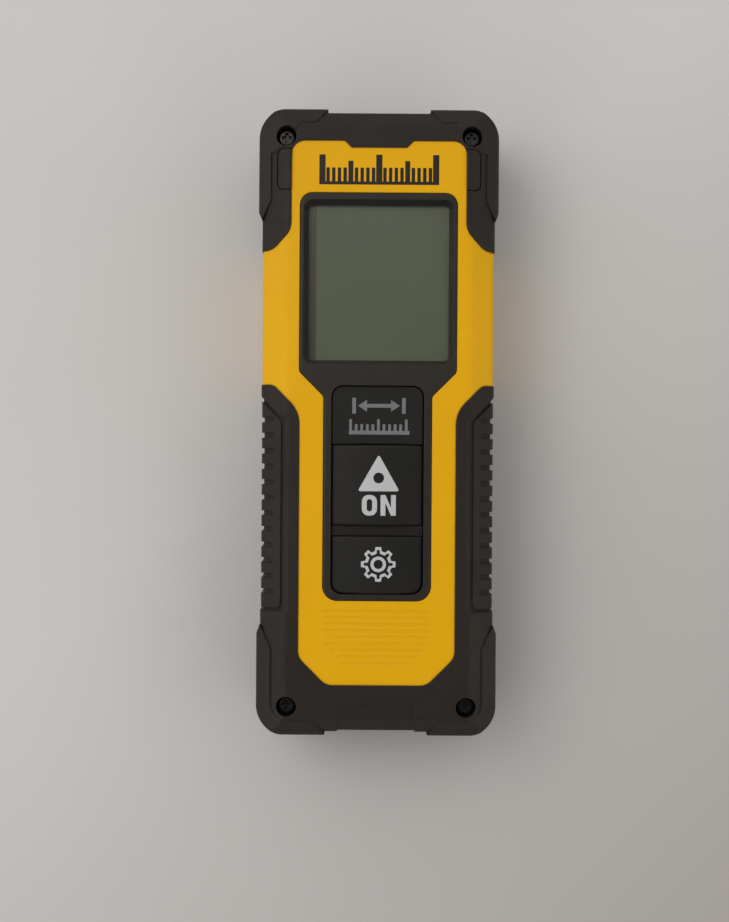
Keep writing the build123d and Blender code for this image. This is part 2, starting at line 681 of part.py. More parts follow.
with BuildPart() as rear_lower_overmold:
    add(rear_skin)
    add(zone_of(rear_bumper_block, lower_bumpers.sketch))
    extrude(lower_zone.sketch, amount=2 * HEIGHT, mode=Mode.INTERSECT)
    add(sunk_zone(grip_notches.sketch, rear_block(-NOTCH_SINK / 2, NOTCH_SINK), -GAP, PARTING),
        mode=Mode.SUBTRACT)
    extrude(yellow_back.sketch, amount=2 * HEIGHT, mode=Mode.SUBTRACT)
    add(rear_core, mode=Mode.SUBTRACT)
save(rear_lower_overmold.part, "rear_lower_overmold")

# ---- Battery door ------------------------------------------------------------------------------------
LATCH_HALF = 3.6
LATCH_LENGTH = 6.0
LATCH_SLOT = 0.7
RIDGE_COUNT = 5
RIDGE_START = 9.0  # from the free end to the first finger groove
RIDGE_PITCH = 1.3
RIDGE_LENGTH = 9.0
RIDGE_WIDTH = 0.5
RIDGE_DEPTH = 0.3
FOAM_WIDTH = 14.0
FOAM_LENGTH = 30.0
FOAM_THICK = 0.3
FOAM_SHIFT = 3.0
with BuildPart() as battery_door:
    with BuildSketch(Plane.XY.offset(DOOR_BOTTOM)):
        with Locations((0, (DOOR_AXIS_Y + DOOR_FREE_END) / 2)):
            Rectangle(2 * DOOR_HALF, DOOR_FREE_END - DOOR_AXIS_Y)
    extrude(amount=DOOR_THICK)
    with BuildSketch(Plane.YZ.offset(-DOOR_HALF)):
        with Locations((DOOR_AXIS_Y, DOOR_AXIS_Z)):
            Circle(DOOR_THICK / 2)
    extrude(amount=2 * DOOR_HALF)
    with BuildSketch(Plane.YZ.offset(-DOOR_HALF - PIVOT_REACH)):
        with Locations((DOOR_AXIS_Y, DOOR_AXIS_Z)):
            Circle(PIVOT_RADIUS)
    extrude(amount=2 * (DOOR_HALF + PIVOT_REACH))
    with BuildSketch(Plane.XY.offset(DOOR_BOTTOM)):
        for side in (-1, 1):
            with Locations((side * (LATCH_HALF + LATCH_SLOT / 2), DOOR_FREE_END - LATCH_LENGTH / 2)):
                Rectangle(LATCH_SLOT, LATCH_LENGTH)
    extrude(amount=DOOR_THICK, mode=Mode.SUBTRACT)
    with BuildSketch(Plane.XY.offset(DOOR_BOTTOM)):
        for row in range(RIDGE_COUNT):
            with Locations((0, DOOR_FREE_END - RIDGE_START - row * RIDGE_PITCH)):
                SlotOverall(RIDGE_LENGTH, RIDGE_WIDTH)
    extrude(amount=RIDGE_DEPTH, mode=Mode.SUBTRACT)
save(battery_door.part, "battery_door")

with BuildPart() as door_foam:
    with BuildSketch(Plane.XY.offset(DOOR_BOTTOM + DOOR_THICK)):
        with Locations((0, BAY_MIDDLE - FOAM_SHIFT)):
            Rectangle(FOAM_WIDTH, FOAM_LENGTH)
    extrude(amount=FOAM_THICK)
save(door_foam.part, "door_foam")

# ---- Display bezel and window ------------------------------------------------------------------------
WINDOW_MIDDLE = (WINDOW_TOP + WINDOW_BOTTOM) / 2
WINDOW_LENGTH = WINDOW_TOP - WINDOW_BOTTOM
with BuildPart() as display_bezel:
    with BuildSketch(Plane.XY.offset(BEZEL_SEAT)):
        add(bezel_outline.sketch)
    extrude(amount=FACE + BEZEL_LIFT - BEZEL_SEAT)
    fillet(display_bezel.edges().group_by(Axis.Z)[-1], radius=BEZEL_ROUND)
    with BuildSketch(Plane.XY.offset(BEZEL_SEAT)):
        add(window_outline.sketch)
    extrude(amount=HEIGHT - BEZEL_SEAT, taper=-WELL_LEAN, mode=Mode.SUBTRACT)
    with BuildSketch(Plane.XY.offset(BEZEL_SEAT)):
        add(keyhole_outline.sketch)
    extrude(amount=HEIGHT, mode=Mode.SUBTRACT)
save(display_bezel.part, "display_bezel")

WINDOW_MARGIN = 0.55
WINDOW_EDGE_ROUND = 1.0
with BuildPart() as display_window:
    with BuildSketch(Plane.XY.offset(BEZEL_SEAT - WINDOW_THICK)):
        with Locations((0, WINDOW_MIDDLE)):
            RectangleRounded(2 * (WINDOW_HALF + WINDOW_MARGIN), WINDOW_LENGTH + 2 * WINDOW_MARGIN,
                             WINDOW_EDGE_ROUND)
    extrude(amount=WINDOW_THICK)
save(display_window.part, "display_window")

# ---- Display stack -----------------------------------------------------------------------------------
GLASS_HALF = 13.0
GLASS_LOW = WINDOW_BOTTOM - 1.6
GLASS_HIGH = WINDOW_TOP + 0.6
DISPLAY_AIR = 0.25  # between the clear window and the glass with its polarizer
GLASS_TOP = BEZEL_SEAT - WINDOW_THICK - DISPLAY_AIR
GLASS_THICK = 1.6
POLARIZER_THICK = 0.2
POLARIZER_LEFT = -11.1
POLARIZER_REACH = 0.3  # how far it runs on under the bezel
POLARIZER_INSET = 0.1
REFLECTOR_GAP = 0.2
REFLECTOR_THICK = 0.3
HOLDER_WALL = 1.3
STRIP_LENGTH = 2.0
GLASS_FLOOR = GLASS_TOP - GLASS_THICK
GLASS_MIDDLE = (GLASS_LOW + GLASS_HIGH) / 2


def block_between(low, high):
    """A rectangular block between two opposite corner points."""
    with BuildPart() as block:
        with BuildSketch(Plane.XY.offset(low[2])):
            with Locations(((low[0] + high[0]) / 2, (low[1] + high[1]) / 2)):
                Rectangle(high[0] - low[0], high[1] - low[1])
        extrude(amount=high[2] - low[2])
    return block.part


save(block_between((-GLASS_HALF, GLASS_LOW, GLASS_FLOOR), (GLASS_HALF, GLASS_HIGH, GLASS_TOP)), "lcd_glass")
save(block_between((POLARIZER_LEFT, WINDOW_BOTTOM - POLARIZER_REACH, GLASS_TOP),
                   (GLASS_HALF - POLARIZER_INSET, WINDOW_TOP + POLARIZER_REACH, GLASS_TOP + POLARIZER_THICK)),
     "lcd_polarizer")
save(block_between((-GLASS_HALF, GLASS_LOW + STRIP_LENGTH + REFLECTOR_GAP, GLASS_FLOOR - REFLECTOR_THICK),
                   (GLASS_HALF, GLASS_HIGH, GLASS_FLOOR)), "lcd_reflector")
save(block_between((-GLASS_HALF, GLASS_LOW, BOARD_TOP),
                   (GLASS_HALF, GLASS_LOW + STRIP_LENGTH, GLASS_FLOOR)), "contact_strip")
with BuildPart() as lcd_holder:
    with BuildSketch(Plane.XY.offset(BOARD_TOP)):
        with Locations((0, GLASS_MIDDLE)):
            Rectangle(2 * (GLASS_HALF + HOLDER_WALL), GLASS_HIGH - GLASS_LOW + 2 * HOLDER_WALL)
            Rectangle(2 * GLASS_HALF + 2 * GAP, GLASS_HIGH - GLASS_LOW + 2 * GAP, mode=Mode.SUBTRACT)
    extrude(amount=GLASS_TOP - BOARD_TOP)
save(lcd_holder.part, "lcd_holder")

# ---- Keypad ------------------------------------------------------------------------------------------
PLATE_HALF = 10.2
PLATE_MARGIN = 1.6
STEM_HOLE = 2.0
KEY_FREE_FALL = 0.45  # from a key's shoulder to the keypad's plate
PLATE_ROUND = 2.0
DOME_CLEARANCE = 0.02
KEY_LIP = 1.0  # the crown's arc is drawn this far past the key's sides
KEY_LIP_DROP = 0.3
SMALL_KEY_DROP = 0.2
KEY_FLOOR = KEYPAD_FLOOR + KEYPAD_PLATE + KEY_FREE_FALL
KEY_HALF = KEYHOLE_HALF - KEY_GAP
STEM_FLOOR = BOARD_TOP + DOME_HEIGHT + DOME_CLEARANCE
PLATE_LOW = KEYHOLE_BOTTOM - PLATE_MARGIN
PLATE_HIGH = KEYHOLE_TOP + PLATE_MARGIN
with BuildSketch() as keypad_area:
    with Locations((0, (KEYHOLE_TOP + KEYHOLE_BOTTOM) / 2)):
        RectangleRounded(2 * KEY_HALF, KEYHOLE_TOP - KEYHOLE_BOTTOM - 2 * KEY_GAP, KEY_CORNER)


def keypad_band(low, high):
    """The stretch of the keypad's outline between two heights along Y."""
    with BuildSketch() as band:
        add(keypad_area.sketch)
        with Locations((0, (low + high) / 2)):
            Rectangle(2 * KEY_HALF, high - low, mode=Mode.INTERSECT)
    return band.sketch


with BuildPart() as keypad_frame:
    with BuildSketch(Plane.XY.offset(KEYPAD_FLOOR)):
        with Locations((0, (PLATE_LOW + PLATE_HIGH) / 2)):
            RectangleRounded(2 * PLATE_HALF, PLATE_HIGH - PLATE_LOW, PLATE_ROUND)
        with Locations((0, MEASURE_CENTRE), (0, SETTINGS_CENTRE)):
            Circle(STEM_HOLE, mode=Mode.SUBTRACT)
    extrude(amount=KEYPAD_PLATE)
    with BuildSketch(Plane.XY.offset(KEYPAD_FLOOR + KEYPAD_PLATE)):
        add(keypad_band(LABEL_END, KEYHOLE_TOP))
    extrude(amount=LABEL_HEIGHT - KEYPAD_FLOOR - KEYPAD_PLATE)
    fillet(keypad_frame.faces().sort_by(Axis.Z)[-1].edges(), radius=BLOCK_ROUND)
    with BuildSketch(Plane.XY.offset(KEYPAD_FLOOR + KEYPAD_PLATE)):
        add(keypad_band(VALLEY_END, VALLEY_START))
    extrude(amount=VALLEY_HEIGHT - KEYPAD_FLOOR - KEYPAD_PLATE)
save(keypad_frame.part, "keypad_frame")


def key_cap(low, high, centre, crown):
    """A pillow-topped key between two heights along Y, with the stem that presses its dome."""
    reach = KEY_HALF + KEY_LIP
    shoulder = KEY_EDGE - KEY_LIP_DROP
    with BuildPart() as key:
        with BuildSketch(Plane.XY.offset(KEY_FLOOR)):
            add(keypad_band(low, high))
        extrude(amount=crown - KEY_FLOOR)
        with BuildSketch(Plane.XZ):
            with BuildLine():
                rim = ThreePointArc((-reach, shoulder), (0, crown), (reach, shoulder))
                Polyline(rim @ 1, (reach, KEYPAD_FLOOR), (-reach, KEYPAD_FLOOR), rim @ 0)
            make_face()
        extrude(amount=LENGTH, both=True, mode=Mode.INTERSECT)
        fillet(key.faces().sort_by(Axis.Z)[-1].edges(), radius=KEY_ROUND)
        with BuildSketch(Plane.XY.offset(STEM_FLOOR)):
            with Locations((0, centre)):
                Circle(STEM_RADIUS)
        extrude(amount=KEY_FLOOR - STEM_FLOOR)
    return key.part


save(key_cap(VALLEY_START + KEY_SPLIT, LABEL_END - KEY_SPLIT, MEASURE_CENTRE, KEY_CROWN), "measure_button")
save(key_cap(KEYHOLE_BOTTOM, VALLEY_END - KEY_SPLIT, SETTINGS_CENTRE, KEY_CROWN - SMALL_KEY_DROP),
     "settings_button")


DOME_FLAT = 1.2  # radius of the flat crown
DOME_SHEET = 0.1
DOME_FOOT = 0.2


def snap_dome(centre):
    """A thin sprung metal dome standing on the board."""
    with BuildPart() as dome:
        with BuildSketch(Plane.XZ.offset(-centre)):
            with BuildLine():
                Polyline(
                    (0, BOARD_TOP + DOME_HEIGHT),
                    (DOME_FLAT, BOARD_TOP + DOME_HEIGHT),
                    (DOME_RADIUS, BOARD_TOP + DOME_SHEET),
                    (DOME_RADIUS, BOARD_TOP),
                    (DOME_RADIUS - DOME_FOOT, BOARD_TOP),
                    (DOME_FLAT - DOME_SHEET, BOARD_TOP + DOME_HEIGHT - DOME_SHEET),
                    (0, BOARD_TOP + DOME_HEIGHT - DOME_SHEET),
                    close=True,
                )
            make_face()
        revolve(axis=Axis((0, centre, 0), (0, 0, 1)))
    return dome.part


save(snap_dome(MEASURE_CENTRE), "measure_dome")
save(snap_dome(SETTINGS_CENTRE), "settings_dome")

# ---- Circuit board -----------------------------------------------------------------------------------
with BuildPart() as main_board:
    with BuildSketch(Plane.XY.offset(BOARD_FLOOR)):
        with Locations((0, (BOARD_LOW_EDGE + BOARD_TOP_EDGE) / 2)):
            RectangleRounded(2 * BOARD_HALF, BOARD_TOP_EDGE - BOARD_LOW_EDGE, BOARD_ROUND)
        with Locations(*BOARD_POSTS):
            Circle(SMALL_SCREW_CLEARANCE, mode=Mode.SUBTRACT)
    extrude(amount=BOARD_THICK)
save(main_board.part, "main_board")

CHIP_LAYOUT = [  # centre x, centre y, width, length, height on the upper side of the board
    (8.5, -3.0, 6.0, 6.0, 0.9),
    (-8.5, -12.0, 5.0, 4.0, 1.2),
    (9.0, -14.0, 4.0, 5.0, 1.0),
    (-9.0, -2.0, 3.2, 2.5, 0.8),
    (0.0, -34.8, 8.0, 3.0, 1.1),
    (9.5, -24.0, 3.2, 6.5, 1.3),
]
RESISTOR_CENTRE = (-9.0, -26.0)
RESISTOR_ROWS = 6
RESISTOR_COLUMNS = 2
RESISTOR_PITCH_X = 2.6
RESISTOR_PITCH_Y = 2.0
RESISTOR_LENGTH = 1.6
RESISTOR_WIDTH = 0.8
RESISTOR_HEIGHT = 0.5
with BuildPart() as board_chips:
    for chip_x, chip_y, chip_width, chip_length, chip_height in CHIP_LAYOUT:
        with BuildSketch(Plane.XY.offset(BOARD_TOP)):
            with Locations((chip_x, chip_y)):
                Rectangle(chip_width, chip_length)
        extrude(amount=chip_height)
    with BuildSketch(Plane.XY.offset(BOARD_TOP)):
        with Locations(RESISTOR_CENTRE):
            with GridLocations(RESISTOR_PITCH_X, RESISTOR_PITCH_Y, RESISTOR_COLUMNS, RESISTOR_ROWS):
                Rectangle(RESISTOR_LENGTH, RESISTOR_WIDTH)
    extrude(amount=RESISTOR_HEIGHT)
save(board_chips.part, "board_chips")


DRIVE_REACH = 0.55  # length of each arm of the cross recess, as a share of the head's radius
DRIVE_WIDTH = 0.18  # its width, as a share of the head's radius
DRIVE_DEPTH = 0.6  # its depth, as a share of the head's height
HEAD_ROUND = 0.4  # the rounding of the head's rim, as a share of the head's height
SMALL_HEAD_RADIUS = 1.4
SMALL_HEAD_HEIGHT = 0.8
BOARD_SCREW_LENGTH = 6.0


def screw_set(spots, seat, tip, head_radius, head_height, radius):
    """Pan-headed screws standing on the plane z = seat, with a cross recess in each head."""
    with BuildPart() as screws:
        with BuildSketch(Plane.XY.offset(tip)):
            with Locations(*spots):
                Circle(radius)
        extrude(amount=seat - tip)
        with BuildSketch(Plane.XY.offset(seat)):
            with Locations(*spots):
                Circle(head_radius)
        extrude(amount=head_height)
        fillet(screws.edges().group_by(Axis.Z)[-1], radius=head_height * HEAD_ROUND)
        with BuildSketch(Plane.XY.offset(seat + head_height)):
            with Locations(*spots):
                Rectangle(2 * head_radius * DRIVE_REACH, 2 * head_radius * DRIVE_WIDTH)
                Rectangle(2 * head_radius * DRIVE_WIDTH, 2 * head_radius * DRIVE_REACH)
        extrude(amount=-head_height * DRIVE_DEPTH, mode=Mode.SUBTRACT)
    return screws.part


save(screw_set(SCREW_SPOTS, SCREW_SEAT, SCREW_TIP, SCREW_HEAD_RADIUS, SCREW_HEAD_HEIGHT, SCREW_RADIUS),
     "housing_screws")
save(screw_set(BOARD_POSTS, BOARD_TOP, BOARD_TOP - BOARD_SCREW_LENGTH, SMALL_HEAD_RADIUS, SMALL_HEAD_HEIGHT,
               SMALL_SCREW_RADIUS), "board_screws")
save(screw_set(CHASSIS_SPOTS, CHASSIS_TOP, CHASSIS_SCREW_TIP, SMALL_HEAD_RADIUS, SMALL_HEAD_HEIGHT,
               SMALL_SCREW_RADIUS), "chassis_screws")

BUZZER_SPOT = (8.6, 7.8)
BUZZER_RADIUS = 4.5
BUZZER_HEIGHT = 2.2
BUZZER_PORT_RADIUS = 0.8
BUZZER_PORT_DEPTH = 1.0
with BuildPart() as buzzer:
    with BuildSketch(Plane.XY.offset(BOARD_FLOOR)):
        with Locations(BUZZER_SPOT):
            Circle(BUZZER_RADIUS)
    extrude(amount=-BUZZER_HEIGHT)
    with BuildSketch(Plane.XY.offset(BOARD_FLOOR - BUZZER_HEIGHT)):
        with Locations(BUZZER_SPOT):
            Circle(BUZZER_PORT_RADIUS)
    extrude(amount=BUZZER_PORT_DEPTH, mode=Mode.SUBTRACT)
save(buzzer.part, "buzzer")

# ---- Battery cells and contacts ----------------------------------------------------------------------
CELL_X = CELL_SPACING / 2
NUB_LENGTH = 0.8
NUB_RADIUS = 1.8
SLEEVE_THICK = 0.1
SPRING_LENGTH = BAY_LENGTH - 2 * CONTACT_THICK - CELL_LENGTH
SPRING_RADIUS = 2.4
SPRING_WIRE = 0.3
SPRING_TURNS = 3
LEFT_CELL_LOW = BAY_LOW + CONTACT_THICK + SPRING_LENGTH  # the left cell's nub points towards the laser
RIGHT_CELL_HIGH = BAY_HIGH - CONTACT_THICK - SPRING_LENGTH


def along_rod(x, low, high, radius, inner=0.0):
    """A round rod or tube along Y on the cells' axis height, between two places along Y."""
    with BuildPart() as rod:
        with BuildSketch(Plane.XZ.offset(-low)):
            with Locations((x, CELL_AXIS)):
                Circle(radius)
                if inner:
                    Circle(inner, mode=Mode.SUBTRACT)
        extrude(amount=low - high)
    return rod.part


CAN_LENGTH = CELL_LENGTH - NUB_LENGTH
with BuildPart() as battery_cells:
    add(along_rod(-CELL_X, LEFT_CELL_LOW, LEFT_CELL_LOW + CAN_LENGTH, CELL_RADIUS - SLEEVE_THICK))
    add(along_rod(-CELL_X, LEFT_CELL_LOW + CAN_LENGTH, LEFT_CELL_LOW + CELL_LENGTH, NUB_RADIUS))
    add(along_rod(CELL_X, RIGHT_CELL_HIGH - CAN_LENGTH, RIGHT_CELL_HIGH, CELL_RADIUS - SLEEVE_THICK))
    add(along_rod(CELL_X, RIGHT_CELL_HIGH - CELL_LENGTH, RIGHT_CELL_HIGH - CAN_LENGTH, NUB_RADIUS))
save(battery_cells.part, "battery_cells")

SLEEVE_MARGIN = 0.4
with BuildPart() as cell_sleeves:
    add(along_rod(-CELL_X, LEFT_CELL_LOW + SLEEVE_MARGIN, LEFT_CELL_LOW + CAN_LENGTH - SLEEVE_MARGIN,
                  CELL_RADIUS, CELL_RADIUS - SLEEVE_THICK))
    add(along_rod(CELL_X, RIGHT_CELL_HIGH - CAN_LENGTH + SLEEVE_MARGIN, RIGHT_CELL_HIGH - SLEEVE_MARGIN,
                  CELL_RADIUS, CELL_RADIUS - SLEEVE_THICK))
save(cell_sleeves.part, "cell_sleeves")

PLATE_FLOOR = 3.0
PLATE_CEILING = 11.6
PLATE_INNER = 1.0
PLATE_OUTER = 10.4
save(block_between((-PLATE_OUTER, BAY_LOW, PLATE_FLOOR),
                   (PLATE_OUTER, BAY_LOW + CONTACT_THICK, PLATE_CEILING)), "bridge_contact")
save(block_between((-PLATE_OUTER, BAY_HIGH - CONTACT_THICK, PLATE_FLOOR),
                   (-PLATE_INNER, BAY_HIGH, PLATE_CEILING)), "positive_contact")
save(block_between((PLATE_INNER, BAY_HIGH - CONTACT_THICK, PLATE_FLOOR),
                   (PLATE_OUTER, BAY_HIGH, PLATE_CEILING)), "negative_contact")


def coil_spring(x, start):
    """A small round-wire spring along Y, from a contact plate to a cell's flat end."""
    height = SPRING_LENGTH - 2 * SPRING_WIRE - 2 * GAP
    with BuildPart() as spring:
        with BuildLine() as path:
            Helix(pitch=height / SPRING_TURNS, height=height, radius=SPRING_RADIUS,
                  center=(x, start + SPRING_WIRE + GAP, CELL_AXIS), direction=(0, 1, 0))
        with BuildSketch(Plane(origin=path.line @ 0, z_dir=path.line % 0)):
            Circle(SPRING_WIRE)
        sweep()
    return spring.part


with BuildPart() as contact_springs:
    add(coil_spring(-CELL_X, BAY_LOW + CONTACT_THICK))
    add(coil_spring(CELL_X, RIGHT_CELL_HIGH))
save(contact_springs.part, "contact_springs")

# ---- Optics ------------------------------------------------------------------------------------------
WIRE_BAY_LOW = 32.0  # the chassis is open behind the laser from here
BARREL_LOW = 34.0
BARREL_HIGH = 50.6
BARREL_BORE = 2.1
DIODE_LENGTH = 4.0
DIODE_FLANGE = 1.2
DIODE_RADIUS = 1.6
COLLIMATOR_LOW = 48.2
COLLIMATOR_EDGE = 0.8
COLLIMATOR_BULGE = 0.7
RECEIVER_LENS_LOW = 47.6
RECEIVER_LENS_EDGE = 1.4
RECEIVER_LENS_BULGE = 1.6
RECEIVER_LENS_LIP = 0.4
RECEIVER_LENS_RIM = 0.2
SENSOR_RADIUS = 2.3
SENSOR_LENGTH = 3.2
SENSOR_RIM = 0.6
SENSOR_STEP = 0.4
SENSOR_FIT = 0.1
RECEIVER_BOARD_HALF = 5.5
RECEIVER_BOARD_LIFT = 0.4
RECEIVER_BOARD_THICK = 1.0
RECEIVER_THROAT = 1.6
WIRE_SLOT_HALF = 1.8
BEZEL_PLATE_LOW = 52.1
BEZEL_PLATE_HIGH = 54.7
END_FIT = 0.06


def along_profile(x, points):
    """A body of revolution about an axis along Y at the optics height; points are (radius, y)."""
    with BuildPart() as turned:
        with BuildSketch(Plane.XY.offset(OPTICS_AXIS)):
            with BuildLine():
                Polyline(*[(x + radius, y) for radius, y in points], close=True)
            make_face()
        revolve(axis=Axis((x, 0, OPTICS_AXIS), (0, 1, 0)))
    return turned.part


with BuildPart() as optics_chassis:
    add(block_between((-CHASSIS_HALF, CHASSIS_LOW, CHASSIS_FLOOR), (CHASSIS_HALF, CHASSIS_HIGH, CHASSIS_TOP)))
    add(along_profile(LASER_X, [
        (0, WIRE_BAY_LOW),
        (BARREL_RADIUS + GAP, WIRE_BAY_LOW),
        (BARREL_RADIUS + GAP, LENGTH),
        (0, LENGTH),
    ]),
        mode=Mode.SUBTRACT)
    add(block_between((LASER_X - WIRE_SLOT_HALF, WIRE_BAY_LOW, OPTICS_AXIS),
                      (LASER_X + WIRE_SLOT_HALF, BARREL_LOW, HEIGHT)), mode=Mode.SUBTRACT)
    add(along_profile(RECEIVER_X, [
        (0, 0),
        (SENSOR_RADIUS + GAP, 0),
        (SENSOR_RADIUS + GAP, CHASSIS_LOW + SENSOR_LENGTH),
        (RECEIVER_THROAT, CHASSIS_LOW + SENSOR_LENGTH),
        (LENS_RADIUS - RECEIVER_LENS_LIP, RECEIVER_LENS_LOW),
        (LENS_RADIUS + GAP, RECEIVER_LENS_LOW),
        (LENS_RADIUS + GAP, LENGTH),
        (0, LENGTH),
    ]), mode=Mode.SUBTRACT)
    with BuildSketch(Plane.XY.offset(CHASSIS_FLOOR)):
        with Locations(*CHASSIS_SPOTS):
            Circle(SMALL_SCREW_CLEARANCE)
    extrude(amount=HEIGHT, mode=Mode.SUBTRACT)
save(optics_chassis.part, "optics_chassis")

save(along_profile(LASER_X, [
    (BARREL_BORE, BARREL_LOW),
    (BARREL_RADIUS, BARREL_LOW),
    (BARREL_RADIUS, BARREL_HIGH),
    (BARREL_BORE, BARREL_HIGH),
]), "laser_barrel")
save(along_profile(LASER_X, [
    (0, BARREL_LOW),
    (BARREL_BORE, BARREL_LOW),
    (BARREL_BORE, BARREL_LOW + DIODE_FLANGE),
    (DIODE_RADIUS, BARREL_LOW + DIODE_FLANGE),
    (DIODE_RADIUS, BARREL_LOW + DIODE_LENGTH),
    (0, BARREL_LOW + DIODE_LENGTH),
]), "laser_diode")


def convex_lens(x, low, radius, edge, bulge):
    """A lens with a flat back at low and a domed front, on an axis along Y."""
    dome_radius = (radius**2 + bulge**2) / (2 * bulge)
    crown = low + edge + bulge
    half_way = crown - dome_radius + sqrt(dome_radius**2 - (radius / 2) ** 2)
    with BuildPart() as lens:
        with BuildSketch(Plane.XY.offset(OPTICS_AXIS)):
            with BuildLine():
                ThreePointArc((x, crown), (x + radius / 2, half_way), (x + radius, low + edge))
                Polyline((x + radius, low + edge), (x + radius, low), (x, low), (x, crown))
            make_face()
        revolve(axis=Axis((x, 0, OPTICS_AXIS), (0, 1, 0)))
    return lens.part


save(convex_lens(LASER_X, COLLIMATOR_LOW, COLLIMATOR_RADIUS, COLLIMATOR_EDGE, COLLIMATOR_BULGE),
     "collimator_lens")
save(convex_lens(RECEIVER_X, RECEIVER_LENS_LOW, LENS_RADIUS, RECEIVER_LENS_EDGE, RECEIVER_LENS_BULGE),
     "receiver_lens")
SENSOR_END = CHASSIS_LOW + SENSOR_LENGTH - SENSOR_FIT
save(along_profile(RECEIVER_X, [
    (0, CHASSIS_LOW),
    (SENSOR_RADIUS, CHASSIS_LOW),
    (SENSOR_RADIUS, CHASSIS_LOW + SENSOR_RIM),
    (SENSOR_RADIUS - SENSOR_STEP, CHASSIS_LOW + SENSOR_RIM),
    (SENSOR_RADIUS - SENSOR_STEP, SENSOR_END),
    (0, SENSOR_END),
]), "receiver_sensor")
RECEIVER_BACK = CHASSIS_LOW - RECEIVER_BOARD_THICK
save(block_between((RECEIVER_X - RECEIVER_BOARD_HALF, RECEIVER_BACK, CHASSIS_FLOOR + RECEIVER_BOARD_LIFT),
                   (RECEIVER_X + RECEIVER_BOARD_HALF, CHASSIS_LOW, CHASSIS_TOP)), "receiver_board")

FLEX_THICK = 0.15
FLEX_HALF = 2.5
FLEX_FOOT = 9.0  # the receiver's flex starts at this height on its board
FLEX_RUN = 5.0
LASER_FLEX_HALF = 1.5
LASER_FLEX_BACK = BARREL_LOW - 0.2
BOARD_UNDERSIDE = BOARD_FLOOR - GAP
with BuildPart() as receiver_flex:
    add(block_between((-FLEX_HALF, RECEIVER_BACK - FLEX_THICK, FLEX_FOOT),
                      (FLEX_HALF, RECEIVER_BACK, BOARD_UNDERSIDE)))
    add(block_between((-FLEX_HALF, RECEIVER_BACK - FLEX_RUN, BOARD_UNDERSIDE - FLEX_THICK),
                      (FLEX_HALF, RECEIVER_BACK, BOARD_UNDERSIDE)))
save(receiver_flex.part, "receiver_flex")
save(block_between((LASER_X - LASER_FLEX_HALF, LASER_FLEX_BACK - FLEX_THICK, OPTICS_AXIS),
                   (LASER_X + LASER_FLEX_HALF, LASER_FLEX_BACK, BOARD_FLOOR)), "laser_flex")

with BuildSketch() as end_plate:
    RectangleRounded(2 * (APERTURE_HALF - END_FIT), APERTURE_HIGH - APERTURE_LOW - 2 * END_FIT,
                     APERTURE_ROUND - END_FIT)
with BuildPart() as optics_bezel:
    with BuildSketch(Plane.XZ.offset(-BEZEL_PLATE_LOW)):
        with Locations((0, (APERTURE_LOW + APERTURE_HIGH) / 2)):
            add(end_plate.sketch)
        with Locations((LASER_X, OPTICS_AXIS)):
            Circle(COLLIMATOR_RADIUS, mode=Mode.SUBTRACT)
        with Locations((RECEIVER_X, OPTICS_AXIS)):
            Circle(LENS_RADIUS - RECEIVER_LENS_RIM, mode=Mode.SUBTRACT)
    extrude(amount=BEZEL_PLATE_LOW - BEZEL_PLATE_HIGH)
save(optics_bezel.part, "optics_bezel")
with BuildPart() as optics_window:
    with BuildSketch(Plane.XZ.offset(-CHASSIS_HIGH - GAP)):
        with Locations((0, (APERTURE_LOW + APERTURE_HIGH) / 2)):
            add(end_plate.sketch)
    extrude(amount=CHASSIS_HIGH + GAP - BEZEL_PLATE_LOW)
save(optics_window.part, "optics_window")
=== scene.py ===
"""A pocket laser distance meter, dressed for a product picture.

The engineering parts come in as the frame. This script gives each of them its finish and adds what only the
eye needs: the ruler motif and the other printed marks, black rings at the foot of the screw holes that stand
for the shade there, the sprung domes, the table and the light. Size fields are in millimetres, those of the
table, the lamps and all meshes in metres.
"""

import logging
import math
from dataclasses import dataclass
from enum import Enum

import bmesh
import bpy
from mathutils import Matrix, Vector
from mathutils.bvhtree import BVHTree


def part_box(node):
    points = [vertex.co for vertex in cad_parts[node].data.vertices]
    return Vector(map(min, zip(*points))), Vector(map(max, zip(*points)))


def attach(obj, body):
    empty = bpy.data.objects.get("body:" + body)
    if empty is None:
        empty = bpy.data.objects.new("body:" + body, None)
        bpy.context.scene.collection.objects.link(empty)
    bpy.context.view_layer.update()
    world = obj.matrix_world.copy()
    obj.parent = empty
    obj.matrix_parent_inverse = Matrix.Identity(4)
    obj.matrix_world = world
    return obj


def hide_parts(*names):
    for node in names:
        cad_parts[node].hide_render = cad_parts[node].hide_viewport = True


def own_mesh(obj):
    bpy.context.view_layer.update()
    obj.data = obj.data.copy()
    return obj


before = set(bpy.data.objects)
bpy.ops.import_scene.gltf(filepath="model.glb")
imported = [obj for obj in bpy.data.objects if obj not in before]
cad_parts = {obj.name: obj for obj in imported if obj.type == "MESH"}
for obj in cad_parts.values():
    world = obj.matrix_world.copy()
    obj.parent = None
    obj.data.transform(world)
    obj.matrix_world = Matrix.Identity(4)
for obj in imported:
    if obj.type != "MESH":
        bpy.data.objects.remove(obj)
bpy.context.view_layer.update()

LOG = logging.getLogger("distance_meter")
MM = 0.001

Colour = tuple[float, float, float]
Axes = tuple[float, float, float]
Point = tuple[float, float]
Loop = list[Point]
Socket = bpy.types.NodeSocket

WHOLE: Point = (0.0, 1.0)
EVEN: Axes = (1.0, 1.0, 1.0)
UPRIGHT: Axes = (0.0, 0.0, 1.0)
CROSSWISE: Axes = (1.0, 0.0, 0.0)
MERGE_GAP = 1e-7
CUT_GAP = 1e-8
RANGE_SOCKETS = ("From Min", "From Max", "To Min", "To Max")

